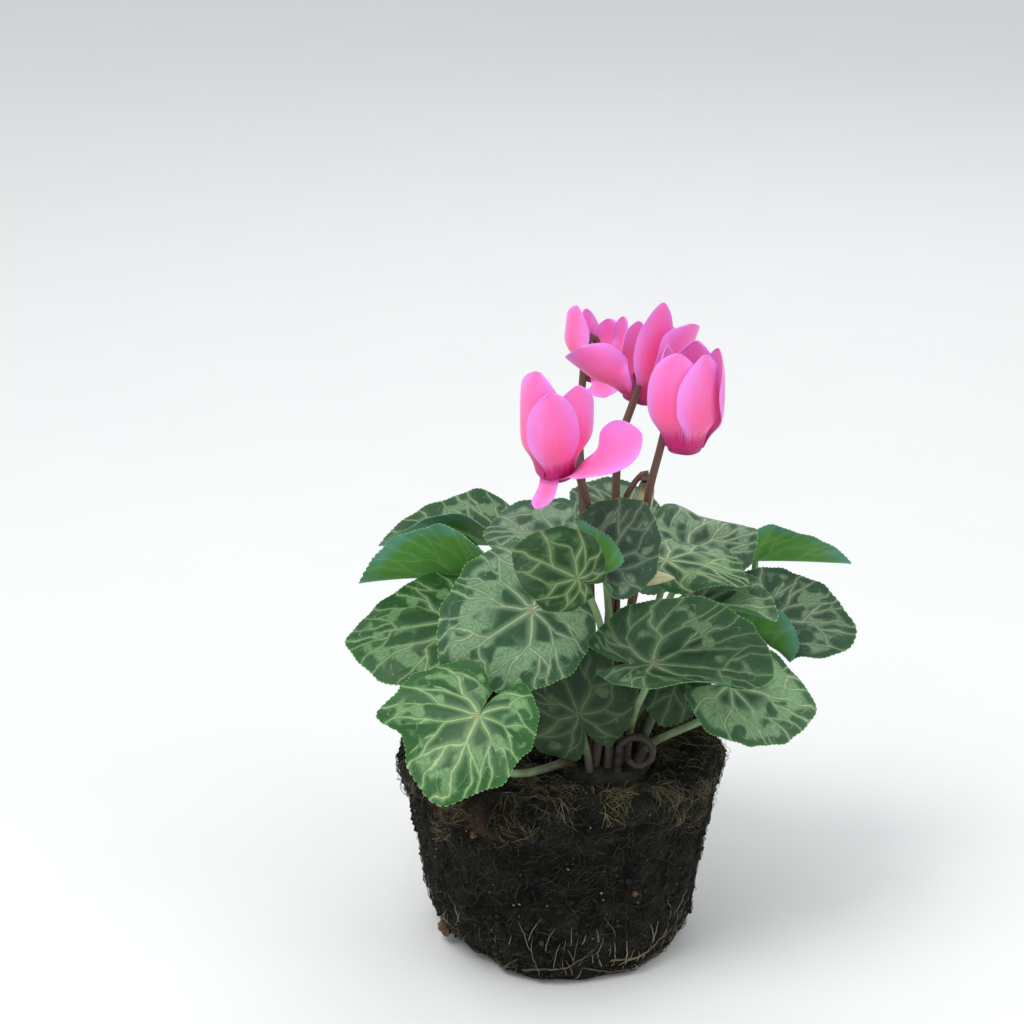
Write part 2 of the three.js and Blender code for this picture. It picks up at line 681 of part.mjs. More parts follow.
function tuberGeometry() {
  const bottom = TUBER_TOP - TUBER_DEPTH;
  const profile = [
    [0, bottom], [8, bottom + 1], [14, bottom + 5], [TUBER_RADIUS - 0.4, bottom + 10],
    [TUBER_RADIUS - 0.6, TUBER_TOP - 2], [CROWN_RADIUS, TUBER_TOP], [0, TUBER_TOP],
  ];
  return lathe(profile, 20).translate(...CROWN, 0);
}

const plant = new THREE.Group();
add(plant, "root_ball", rootBallGeometry(), MATERIALS.peat);
add(plant, "tuber", tuberGeometry(), MATERIALS.tuber);
LEAVES.forEach((leaf, i) => {
  const number = String(i + 1).padStart(2, "0");
  add(plant, "leaf_" + number, bladeGeometry(leaf), MATERIALS.leaf);
  add(plant, "petiole_" + number, petioleGeometry(leaf), MATERIALS.petiole);
});
for (const bloom of BLOOMS) {
  add(plant, "petals_" + bloom.name, bloomGeometry(bloom), MATERIALS.petal);
  add(plant, "stalk_" + bloom.name, bloomStalkGeometry(bloom), MATERIALS.stalk);
}
for (const bud of BUDS) {
  add(plant, "bud_" + bud.name, budGeometry(bud), MATERIALS.bud);
  add(plant, "stalk_bud_" + bud.name, budStalkGeometry(bud), MATERIALS.stalk);
}
add(plant, "old_stalk", oldStalkGeometry(), MATERIALS.stalk);

export default plant;
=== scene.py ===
import math
from collections import namedtuple

import bmesh
import bpy
import numpy as np
from bpy.props import FloatProperty, FloatVectorProperty, IntProperty, PointerProperty
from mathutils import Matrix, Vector, noise


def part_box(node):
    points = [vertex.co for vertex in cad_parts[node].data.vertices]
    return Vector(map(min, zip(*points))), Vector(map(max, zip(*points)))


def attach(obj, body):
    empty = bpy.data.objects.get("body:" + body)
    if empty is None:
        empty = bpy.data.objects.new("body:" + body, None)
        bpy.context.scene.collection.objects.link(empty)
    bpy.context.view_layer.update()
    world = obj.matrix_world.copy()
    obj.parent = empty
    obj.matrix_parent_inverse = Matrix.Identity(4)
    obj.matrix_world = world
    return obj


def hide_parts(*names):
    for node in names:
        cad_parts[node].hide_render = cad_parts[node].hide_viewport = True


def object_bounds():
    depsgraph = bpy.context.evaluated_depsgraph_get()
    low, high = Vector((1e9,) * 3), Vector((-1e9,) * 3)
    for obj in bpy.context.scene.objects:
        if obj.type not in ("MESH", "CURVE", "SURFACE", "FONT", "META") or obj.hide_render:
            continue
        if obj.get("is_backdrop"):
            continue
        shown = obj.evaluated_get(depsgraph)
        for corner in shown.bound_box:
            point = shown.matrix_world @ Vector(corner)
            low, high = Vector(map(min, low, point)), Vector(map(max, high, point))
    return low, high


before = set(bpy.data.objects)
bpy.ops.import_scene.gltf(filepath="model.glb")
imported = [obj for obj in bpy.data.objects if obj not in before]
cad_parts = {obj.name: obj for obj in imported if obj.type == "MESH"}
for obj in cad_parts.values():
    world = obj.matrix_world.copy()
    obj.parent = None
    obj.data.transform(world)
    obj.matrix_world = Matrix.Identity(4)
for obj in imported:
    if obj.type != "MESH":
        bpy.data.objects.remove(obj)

bl_info = {
    "name": "Cyclamen on its root ball",
    "version": (1, 0, 0),
    "blender": (4, 5, 0),
    "location": "3D View > Sidebar > Cyclamen",
    "description": "Leaves, flowers, buds, stalks and rooted peat of a cyclamen out of its pot",
    "category": "Add Mesh",
}

MM = 0.001
UP = np.array((0.0, 0.0, 1.0))
CAD_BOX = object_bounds()
TUBER_TOP = round(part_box("tuber")[1][2] / MM)
TUBER_STANDS_OUT = 3
BALL_TOP = TUBER_TOP - TUBER_STANDS_OUT

# Leaf stalks and flower stalks stand on the crown in three rings, this far from its middle, and start a
# little below its top.
OUTER = 12.6
MIDDLE = 8.6
INNER = 4.2
STALK_SUNK = 1.5

# Where each leaf stands, as in the part's source. at is where the petiole meets the blade, face is where
# the upper side looks, spin turns the tip from straight downhill, and foot is the azimuth and distance of
# the petiole on the crown. lobe and width stretch the two halves, cup and wave lift the margin, and fold
# is how many degrees each half is folded up, always the half to the left of the tip first. sway pushes
# the petiole off its course. green runs from blue-grey to fresh green, silver is the share of marbling,
# the number after it is painted shade that darkens both sides of a leaf lying in shade, and veining is
# how strong the veins are.
# A bend rolls up what lies past a line: the line's azimuth from the midrib and its distance, the degrees
# it turns, below zero to turn it down, and the radius of the roll.
# A nudge moves the outline in or out: its azimuth from the midrib, its half width and its amount.
Leaf = namedtuple(
    "Leaf",
    "at face spin length foot width lobe cup wave fold sway bends green silver deep veining nudges",
    defaults=((1, 1), (1, 1), 0, 1, (), (0, 0, 0), (), 0.4, 0.5, 0.4, 0.8, ()),
)
Bend = namedtuple("Bend", "along start turn round")
LEAVES = [
    Leaf((-28.5, -62, 111.5), (-105, 50), -14, 30, (212, OUTER),
         width=(0.93, 1.45), lobe=(1.1, 1.15), cup=-3, wave=1.5,
         sway=(0, -6, -22), green=0.8, silver=0.5, deep=0.3,
         nudges=((-66, 9, 0.2), (-44, 14, -0.13), (-2, 12, 0.06), (22, 14, -0.06), (48, 12, 0.07))),
    Leaf((-11, -36, 139.5), (-95, 20), -55, 36, (190, MIDDLE), cup=-2, wave=1.5,
         green=0.3, silver=1.15, deep=0.18, veining=0.75),
    Leaf((-37, -17, 127.5), (-112, 66), -70, 39, (190, OUTER), cup=-3, wave=1.5,
         green=0.8, silver=0.45, deep=0.5),
    Leaf((-33, 13, 132), (-95, 112), -86, 38, (170, OUTER), lobe=(0.8, 0.8), fold=(53, 53),
         sway=(0, 6, 0), deep=0.15),
    Leaf((-23, 48, 131), (-90, 98), -98, 43, (132, OUTER),
         width=(0.9, 0.9), lobe=(0.8, 0.8), fold=(40, 40)),
    Leaf((4, -60, 161), (-85, 28), -118, 22.5, (245, MIDDLE), width=(0.9, 1), lobe=(0.6, 0.7), cup=-1,
         sway=(13.5, 6, 0), green=0.95, silver=0.35, deep=0.9, veining=1.0),
    Leaf((13.5, -44, 160.5), (-88, 22), 145, 24, (278, MIDDLE), lobe=(1.1, 0.85), sway=(3.5, 3, 0),
         bends=(Bend(150, 1.5, 150, 2),), green=0.1, silver=0.3, deep=0.4, veining=0.5),
    Leaf((-1.5, 14, 148), (-100, 60), -90, 26, (130, MIDDLE), width=(0.9, 0.9), lobe=(0.9, 0.9), cup=1,
         green=0.1, silver=0.8, deep=0.2, veining=0.6),
    Leaf((24.5, 24, 148), (-80, 45), -130, 24, (90, MIDDLE), width=(0.9, 0.9), lobe=(0.9, 0.9), cup=1,
         green=0.1, silver=0.9, deep=0.2, veining=0.6),
    Leaf((45.5, 16, 141), (-85, 45), 112, 27, (74, OUTER), cup=2, bends=(Bend(52, 10, -80, 6),),
         green=0.15, silver=1.05, deep=0.1),
    Leaf((36.5, -14, 149), (-90, 72), 85, 28, (353, MIDDLE),
         width=(0.9, 0.55), lobe=(0.8, 0.8), cup=-4, wave=2,
         sway=(-3, 0, 0), green=0.5, silver=0.8, deep=0.2, veining=0.95),
    Leaf((47.5, -10, 131.5), (-90, 97), 62, 29, (30, MIDDLE),
         width=(0.9, 0.5), lobe=(0.6, 0.6), fold=(42, 42),
         silver=0.85, deep=0.3),
    Leaf((30.5, -52, 126.5), (-80, 42), 82, 42, (334, MIDDLE),
         width=(0.76, 0.42), lobe=(0.95, 0.8), cup=-2,
         fold=(45, 86), green=0.5, silver=0.25, deep=0.6, veining=0.6,
         nudges=((-26, 17, -0.2), (-80, 20, 0.15), (58, 24, 0.12))),
    Leaf((58.5, -32, 109.5), (-65, 48), 66, 32, (338, OUTER),
         width=(0.93, 0.93), lobe=(0.9, 0.9), cup=-2,
         sway=(0, -5, -4), green=0.45, silver=1.2, deep=0.15, veining=0.8),
    Leaf((5.5, -38, 102), (-85, 5), -160, 28, (245, OUTER),
         green=0.7, silver=0.15, deep=1.12, veining=0.6),
    Leaf((74.5, 2, 119.5), (-75, 50), 84, 30, (18, OUTER), width=(1.05, 1.1), lobe=(1, 1.15),
         bends=(Bend(-130, 7, 140, 2.5),), green=0.2, silver=0.65, deep=0.45, veining=0.7,
         nudges=((-62, 28, -0.32), (-10, 14, 0.1))),
    Leaf((71.5, 36, 129.5), (-90, 118), 80, 34, (38, OUTER),
         width=(0.8, 0.8), lobe=(0.8, 0.8), fold=(40, 40),
         sway=(0, -6, 4), deep=0.15),
    Leaf((40.5, -24, 110), (-85, 25), -20, 18, (358, OUTER),
         green=0.5, silver=0.2, deep=0.9, veining=0.5),
    Leaf((30, 46, 128), (80, 55), 0, 36, (92, OUTER), cup=-3, wave=1.5, green=0.5, silver=0.7),
    Leaf((-1, 66, 118), (105, 50), 10, 36, (112, OUTER), cup=-3, wave=1.5, green=0.3, silver=0.5),
    Leaf((62, 42, 100), (45, 45), 0, 30, (56, OUTER), cup=-3, wave=1.5, green=0.6, silver=0.6),
    Leaf((-44, 34, 104), (150, 50), 0, 34, (152, OUTER), cup=-3, wave=1.5, green=0.2, silver=0.8),
]
# Degrees from the middle of the cut behind the petiole to its edge, and from main vein to main vein.
SINUS_HALF_ANGLE = 3
VEIN_SPACING = 45
# A fold starts this far from the midrib and is this round. The tip hangs this far down.
FOLD_START = 0.5
FOLD_ROUND = 5
TIP_DROOP = 2.2
# Rings of cells in a blade, how much closer they get outwards, and where in its cell a tooth is full.
BLADE_RINGS = 16
RING_EASE = 0.85
TOOTH_FULL = (0.3, 0.72)
# How far to each side of a point the blade is looked at for its slope, and how far apart the patterns of
# two leaves are.
BLADE_PROBE = 0.15
PATTERN_SHIFT = 90
# Petioles: radius at the foot and at the top, how upright they arrive, how far below the blade's middle
# their curve ends, and for what share of the span they keep the direction of each end.
PETIOLE_RADIUS = (1.6, 1.1)
PETIOLE_UPRIGHT = 0.6
PETIOLE_END = 0.9
PETIOLE_KEEPS = (0.4, 0.35)

# Flowers. mouth is the centre of the downward opening, axis leans the flower, and gap is the azimuth at
# which the stalk passes between two petals. A petal's turn is its azimuth round the mouth, lift and curl
# are its slope and how much that grows up its length, twist turns its face, lean tips it sideways, and a
# higher blunt makes its end rounder.
Petal = namedtuple("Petal", "turn lift curl reach width twist lean blunt", defaults=(0, 0, 1.8))
Bloom = namedtuple("Bloom", "name mouth axis gap foot petals")
BLOOMS = [
    Bloom("front", (-2.5, -38, 188.5), (-170, 4), 27, (210, INNER), (
        Petal(-162, 86, 18, 41, 28, 24, 8),
        Petal(-84, 72, 28, 35, 18.5, -4, -2),
        Petal(-52, 87, 8, 34, 22, -24, 8),
        Petal(-48, 38, 4, 37, 21, 85, 22, 3.5),
        Petal(-112, -60, 4, 12, 7.5, 0, 20),
    )),
    Bloom("back", (14, 32, 200.5), (150, 4), -140, (150, INNER), (
        Petal(-174, 80, 30, 28, 15, 30),
        Petal(-84, -36, 10, 10, 12),
        Petal(16, 84, 8, 22, 12),
        Petal(62, 86, 8, 20, 12),
        Petal(115, 88, 4, 24, 12, 10),
    )),
    Bloom("right", (40.5, -26, 194), (0, 3), 194, (330, INNER), (
        Petal(-124, 74, 36, 37, 23),
        Petal(-58, 74, 36, 37, 22),
        Petal(10, 74, 30, 37, 21),
        Petal(78, 74, 30, 37, 20),
        Petal(146, 74, 30, 36, 20),
    )),
    Bloom("high", (26, 3, 202), (15, 16), -105, (90, INNER), (
        Petal(-72, 86, 4, 39, 15, 0, -9),
        Petal(-20, 74, 18, 38, 24, -35, -18, 3),
        Petal(54, 86, 16, 28, 17),
        Petal(126, 80, 12, 26, 15),
        Petal(-140, 34, 10, 29, 25, 36, -24, 2.2),
    )),
]
# A petal turns up within this distance of the mouth, from this slope at first, then flares: the degrees,
# the distance from the mouth and the half length of the flare.
PETAL_TURN = 2.6
PETAL_START = -10
PETAL_FLARE = (30, 9.5, 3.4)
# It widens from the first distance on, over the second. Past a share of its length it rounds to its tip,
# which is blunter with a lower power.
PETAL_WIDENS = (3, 16)
PETAL_ROUNDS = 0.54
PETAL_TIP_POWER = 0.8
# Degrees that it turns to lap over the next one, the radius of its hollow and the depth of its crease.
PETAL_OVERLAP = 9
PETAL_HOLLOW = 13
PETAL_CREASE = 0.22
PETAL_ROWS = 40
PETAL_COLUMNS = 18
CLAW_HALF_WIDTH = 3.7
TIP_HALF_WIDTH = 0.4
THROAT_RADIUS = 5.8
# How far inside the throat's edge and how high a petal starts, the slope past which it flares in full, and
# in how many steps its slope is added up.
PETAL_INSET = 1.2
PETAL_RISE = 1.4
PETAL_STEEP = 72
SPINE_STEPS = 40
# Forms turned about an axis are rows of radius and height.
THROAT_PROFILE = (
    (0, 4.3), (1.8, 4.2), (3.6, 3.2), (3.9, 1), (4.3, -0.3),
    (5.5, 0), (5.8, 2), (5.2, 4.5), (3, 6.2), (0, 6.5),
)
CALYX_PROFILE = ((0, 6.8), (2.4, 6.9), (4, 7.6), (3.4, 9), (1.9, 10.6), (0, 11.4))
# A flower stalk: radius at the foot and at the top, how far it stands straight up, where it comes near the
# flower, and how it hooks over into the calyx, as rows of distance from the flower's axis and height.
STALK_RADIUS = (1.75, 1.3)
STALK_UPRIGHT = 20
STALK_BELOW_FLOWER = (11, -14)
STALK_HOOK = ((8.4, 0), (7, 8), (5.6, 13.5), (3, 16), (0.6, 13.6), (0, 10))

# Buds. calyx is where stalk and bud meet, points is where the bud looks, and rise is below the hook.
Bud = namedtuple("Bud", "name calyx points length rise foot")
BUDS = [
    Bud("nodding", (29, -8, 177), (-90, -80), 15, (20, -8, 164), (30, INNER)),
    Bud("low", (22.5, -38, 152.5), (10, -5), 16, (23, -36, 134), (310, MIDDLE)),
]
BUD_RADIUS = 2.8
# Radians that the folds of a bud turn in each millimetre.
BUD_SPIRAL = 0.28
BUD_HOOK = 4.5
BUD_STALK_UPRIGHT = 15
SEPALS_PROFILE = ((0, -2), (1.2, -1.6), (2.4, -0.4), (2.6, 0.3), (0, 0.3))
OLD_STALK_FOOT = (290, OUTER)
OLD_STALK_CURL = 7
OLD_STALK_RADIUS = 1.5
# Where the coil starts in degrees, and for each of its points the turn, the loss of size and the shift.
OLD_STALK_COIL = (200, 45, 0.06, 0.45)
OLD_STALK_POINTS = 9

# The crown's middle, and the tuber and root ball below it.
CROWN = (15, -22)
TUBER_PROFILE = ((0, 61), (8, 62), (14, 66), (16.6, 71), (16.4, 76), (14.6, 78), (0, 78))
PIT_RADIUS = 17.3
PIT_FLOOR = 60.7
# The grid of the ball: columns, rings on the underside, distance between rows, and rows on the top.
BALL_COLUMNS = 340
BASE_RINGS = (14, 28)
BALL_ROW = 1.05
TOP_ROWS = 34
# How wide the pattern on the ball is for each radian round it, and how far past the rim it is in the pit.
SKIN_ROUND = 50
PIT_SHIFT = 40
BALL_RELIEF = 1.5
# Where the lower edge crumbled away: azimuth, half width in degrees, depth and height.
CRUMBLED_EDGE = (215, 32, 8, 16)
# The profile of the ball, as rows of radius and height, and how far along it each row is.
MERIDIAN = np.array([(42, 0), (45.5, 3), (47.5, 10), (56.58, 72), (53.5, 75), (10, 75)])
MERIDIAN_RUNS = np.concatenate([[0], np.cumsum(np.linalg.norm(np.diff(MERIDIAN, axis=0), axis=1))])
SHOULDER_RUN = MERIDIAN_RUNS[-2]
TOP_RUN = MERIDIAN_RUNS[-1]
TOP_EDGE = 8.5
# A ledge this far below the shoulder, and how far it stands out.
LEDGE_BELOW = 15
LEDGE_OUT = 1.5
# A rusty patch: azimuth and half width in degrees, distance below the shoulder and half height.
RUST_PATCH = (233, 20, 9, 10)
# Azimuth of the side with most moss, how far below the shoulder it starts, and the chance of a strand of
# it where there is hardly any.
MOSS_SIDE = -75
MOSS_BELOW = 20
MOSS_LEAST = 0.12

# Chips of bark pressed into the peat: azimuth, distance up the profile and size.
BARK_CHIPS = (
    (199, 8, 3.4), (236, 62, 1.8), (300, 38, 1.3), (262, 21, 1.1), (120, 30, 2.1), (20, 55, 1.8),
)
# Chips, crumbs and grains stay at least this far above the ground.
LEAST_HEIGHT = 0.05
# Least and most size of a crumb and of a pale grain.
CRUMB_SIZES = (0.5, 1.7)
GRAIN_SIZES = (0.25, 0.6)

# The start of the random draws for strands, crumbs and grains.
SEED = 7
# Strands on the ball: least and most length and radius, how far they arch off it, how much they turn at
# each step, and how many sides they have. A step is about this long.
STRAND_STEP = 1.3
Strand = namedtuple("Strand", "name finish reach thick arch bendy sides")
STRANDS = (
    Strand("moss_strands", "straw", (3, 10), (0.07, 0.15), 1.7, 0.24, 3),
    Strand("loose_straw", "straw", (6, 18), (0.09, 0.2), 2.0, 0.3, 4),
    Strand("root_hairs", "hair", (3, 11), (0.07, 0.16), 0.8, 0.3, 3),
    Strand("fine_roots", "root", (3, 15), (0.09, 0.18), 0.5, 0.12, 5),
    Strand("coarse_roots", "straw", (14, 36), (0.25, 0.5), 0.8, 0.12, 8),
)

# The light comes in disks: where each stands and its size in metres, and the setting with its power.
LIGHTS = {
    "key_light": ((-0.5, -0.5, 1.35), 0.8, "key"),
    "fill_light": ((0.95, -0.6, 0.7), 0.9, "fill"),
    "back_light": ((0.25, 0.9, 1.0), 0.9, "fill"),
}
LIGHTS_AIM = (0, 0, 0.12)
SKY_COLOUR = (0.94, 0.97, 1, 1)
FLOOR_RADIUS = 6
SENSOR_WIDTH = 36


def rgb(red, green, blue):
    """A colour given as 0 to 255 on screen, as the linear colour that Blender wants."""
    shares = [channel / 255 for channel in (red, green, blue)]
    return tuple(s / 12.92 if s <= 0.04045 else ((s + 0.055) / 1.055) ** 2.4 for s in shares)


def colour(name, about, value):
    """A setting that is a colour."""
    return FloatVectorProperty(
        name=name, description=about, default=value, subtype="COLOR", size=3, min=0, max=1
    )


def length(name, about, millimetres):
    """A setting that is a length."""
    return FloatProperty(
        name=name, description=about, default=millimetres * MM, subtype="DISTANCE", unit="LENGTH", min=0
    )


def number_of(name, about, count):
    """A setting that is a count."""
    return IntProperty(name=name, description=about, default=count, min=0)


def power(name, about, watts):
    """A setting that is the power of a light."""
    return FloatProperty(name=name, description=about, default=watts, unit="POWER", min=0)


def direction(azimuth, elevation):
    """The unit vector at an azimuth and an elevation in degrees."""
    a = math.radians(azimuth)
    e = math.radians(elevation)
    return np.array([math.cos(e) * math.cos(a), math.cos(e) * math.sin(a), math.sin(e)])


def unit(vectors):
    """The same directions with length 1."""
    return vectors / np.linalg.norm(vectors, axis=-1, keepdims=True)


def smooth(share):
    """0 below 0 and 1 above 1, with a smooth change between them."""
    s = np.clip(share, 0, 1)
    return s * s * (3 - 2 * s)


def part_way(ends, share):
    """The value a share of the way from one end to the other."""
    return ends[0] + (ends[1] - ends[0]) * share


# Closed forms and paths


def new_object(name, data):
    """An object in the scene."""
    made = bpy.data.objects.new(name, data)
    bpy.context.scene.collection.objects.link(made)
    return made


class Shape:
    """Points in millimetres, faces and values at the points, gathered from closed forms."""

    def __init__(self, points=(), faces=(), **values):
        self.points = []
        self.faces = []
        self.values = {}
        self.count = 0
        if len(points):
            self.add(points, faces, **values)

    def add(self, points, faces, **values):
        """Takes in one more closed form, with a value of three numbers for each point or for all."""
        self.points.append(points)
        self.faces.extend([[self.count + i for i in face] for face in faces])
        self.count += len(points)
        for name, rows in values.items():
            self.values.setdefault(name, []).append(np.broadcast_to(rows, (len(points), 3)))

    def piece(self, name, finish, slot, nodes=(), crease=50):
        """Makes the shape a piece of the plant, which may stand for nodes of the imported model."""
        mesh = bpy.data.meshes.new(name)
        mesh.from_pydata((np.vstack(self.points) * MM).tolist(), [], self.faces)
        for key, rows in self.values.items():
            layer = mesh.attributes.new(key, "FLOAT_VECTOR", "POINT")
            layer.data.foreach_set("vector", np.vstack(rows).astype(np.float32).ravel())
        mesh.shade_smooth()
        mesh.set_sharp_from_angle(angle=math.radians(crease))
        mesh.materials.append(finish)
        made = new_object(name, mesh)
        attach(made, "root")
        if nodes:
            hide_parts(*nodes)


def grid_cells(rows, columns, first=0):
    """The cells of a grid of points, with so many cells each way, from the number of its first point."""
    wide = columns + 1
    starts = [first + i * wide + k for i in range(rows) for k in range(columns)]
    return [(a, a + wide, a + wide + 1, a + 1) for a in starts]


def capped_rings(rings, sides):
    """The faces of a closed form whose points are one end, then rings of points, then the other end."""
    last = 1 + (rings - 1) * sides
    faces = []
    for k in range(sides):
        following = (k + 1) % sides
        faces.append((0, 1 + following, 1 + k))
        for start in range(1, last, sides):
            a = start + k
            b = start + following
            faces.append((a, b, b + sides, a + sides))
        faces.append((last + k, last + following, last + sides))
    return faces


def two_sided(middle, normals, thickness, cells, rim):
    """A thin closed sheet with the same cells on both sides of a middle surface."""
    half = (normals.T * thickness / 2).T
    under = len(middle)
    faces = [list(cell) for cell in cells]
    faces += [[under + i for i in reversed(cell)] for cell in cells]
    faces += [[a, under + a, under + b, b] for a, b in zip(rim, rim[1:] + rim[:1])]
    return np.vstack([middle + half, middle - half]), faces


def tube(path, radii, sides):
    """A closed round tube along a path."""
    path = np.asarray(path, float)
    ahead = unit(np.gradient(path, axis=0))
    side = np.cross(ahead[0], (0.31, 0.17, 0.93))
    turns = np.arange(sides) * 2 * math.pi / sides
    points = []
    for centre, forward, radius in zip(path, ahead, np.broadcast_to(radii, len(path))):
        side = unit(side - forward * (forward @ side))
        other = np.cross(forward, side)
        ring = np.outer(np.cos(turns), side) + np.outer(np.sin(turns), other)
        points.append(centre + radius * ring)
    faces = [list(range(sides))[::-1]]
    for i in range(len(path) - 1):
        for k in range(sides):
            a = i * sides + k
            b = i * sides + (k + 1) % sides
            faces.append([a, b, b + sides, a + sides])
    last = (len(path) - 1) * sides
    faces.append([last + k for k in range(sides)])
    return np.vstack(points), faces


def lathe(profile, sides, lobes=0, depth=0.0, twist=0.0):
    """A closed form turned about +Z from [radius, height] rows, with lobes round it if asked."""
    profile = np.asarray(profile, float)
    turns = np.arange(sides) * 2 * math.pi / sides
    points = [(0, 0, profile[0][1])]
    inner = profile[1:-1]
    for radius, height in inner:
        radius = max(radius, 0.02)
        bulge = 1 + depth * np.cos(lobes * turns + twist * height)
        for turn, r in zip(turns, radius * bulge):
            points.append((r * math.cos(turn), r * math.sin(turn), height))
    points.append((0, 0, profile[-1][1]))
    return np.array(points), capped_rings(len(inner), sides)


def rounded(profile, cuts=5):
    """A profile with its corners eased, from the same rows."""
    rows = through(profile, cuts * (len(profile) - 1))
    rows[:, 0] = np.maximum(rows[:, 0], 0)
    rows[0, 0] = 0
    rows[-1, 0] = 0
    return rows


def along_even(path, steps):
    """The same path with its points evenly far apart."""
    gone = np.concatenate([[0], np.cumsum(np.linalg.norm(np.diff(path, axis=0), axis=1))])
    places = np.linspace(0, gone[-1], steps + 1)
    return np.stack([np.interp(places, gone, path[:, i]) for i in range(path.shape[1])], axis=1)


def through(points, steps):
    """A smooth path through points, as a centripetal Catmull-Rom curve."""
    points = np.asarray(points, float)
    ends = [2 * points[0] - points[1], *points, 2 * points[-1] - points[-2]]
    s = np.linspace(0, 1, 13)[:, None]
    path = []
    for before, start, end, after in zip(ends, ends[1:], ends[2:], ends[3:]):
        d0 = np.linalg.norm(start - before) ** 0.5
        d1 = np.linalg.norm(end - start) ** 0.5
        d2 = np.linalg.norm(after - end) ** 0.5
        leave = (start - before) / d0 - (end - before) / (d0 + d1) + (end - start) / d1
        reach = (end - start) / d1 - (after - start) / (d1 + d2) + (after - end) / d2
        leave = leave * d1
        reach = reach * d1
        rest = (2 * start - 2 * end + leave + reach) * s**3
        path.append(start + leave * s + (-3 * start + 3 * end - 2 * leave - reach) * s**2 + rest)
    return along_even(np.vstack([part[:-1] for part in path] + [points[-1:]]), steps)


# Finishes


class Value:
    """A socket of a finish. Arithmetic on it adds the Math nodes that work it out."""

    def __init__(self, finish, socket):
        self.finish = finish
        self.socket = socket

    def math(self, operation, *terms):
        """The result of one Math node."""
        return self.finish.node("ShaderNodeMath", {"operation": operation}, dict(enumerate(terms)))

    def __add__(self, other):
        return self.math("ADD", self, other)

    def __radd__(self, other):
        return self.math("ADD", other, self)

    def __sub__(self, other):
        return self.math("SUBTRACT", self, other)

    def __rsub__(self, other):
        return self.math("SUBTRACT", other, self)

    def __mul__(self, other):
        return self.math("MULTIPLY", self, other)

    def __rmul__(self, other):
        return self.math("MULTIPLY", other, self)

    def __truediv__(self, other):
        return self.math("DIVIDE", self, other)

    def __rtruediv__(self, other):
        return self.math("DIVIDE", other, self)

    def __pow__(self, other):
        return self.math("POWER", self, other)

    def __rpow__(self, other):
        return self.math("POWER", other, self)

    def __abs__(self):
        return self.math("ABSOLUTE", self)

    def __round__(self):
        return self.math("ROUND", self)

    def least(self, other):
        """The lower of two."""
        return self.math("MINIMUM", self, other)

    def most(self, other):
        """The higher of two."""
        return self.math("MAXIMUM", self, other)

    def cosine(self):
        return self.math("COSINE", self)

    def sign(self):
        return self.math("SIGN", self)

    def is_near(self, other, reach):
        """1 within reach of the other, 0 elsewhere."""
        return self.math("COMPARE", self, other, reach)

    def step(self, low, high):
        """0 below low and 1 above high, with a smooth change between them."""
        settings = {"interpolation_type": "SMOOTHSTEP"}
        return self.finish.node("ShaderNodeMapRange", settings, {0: self, 1: low, 2: high})


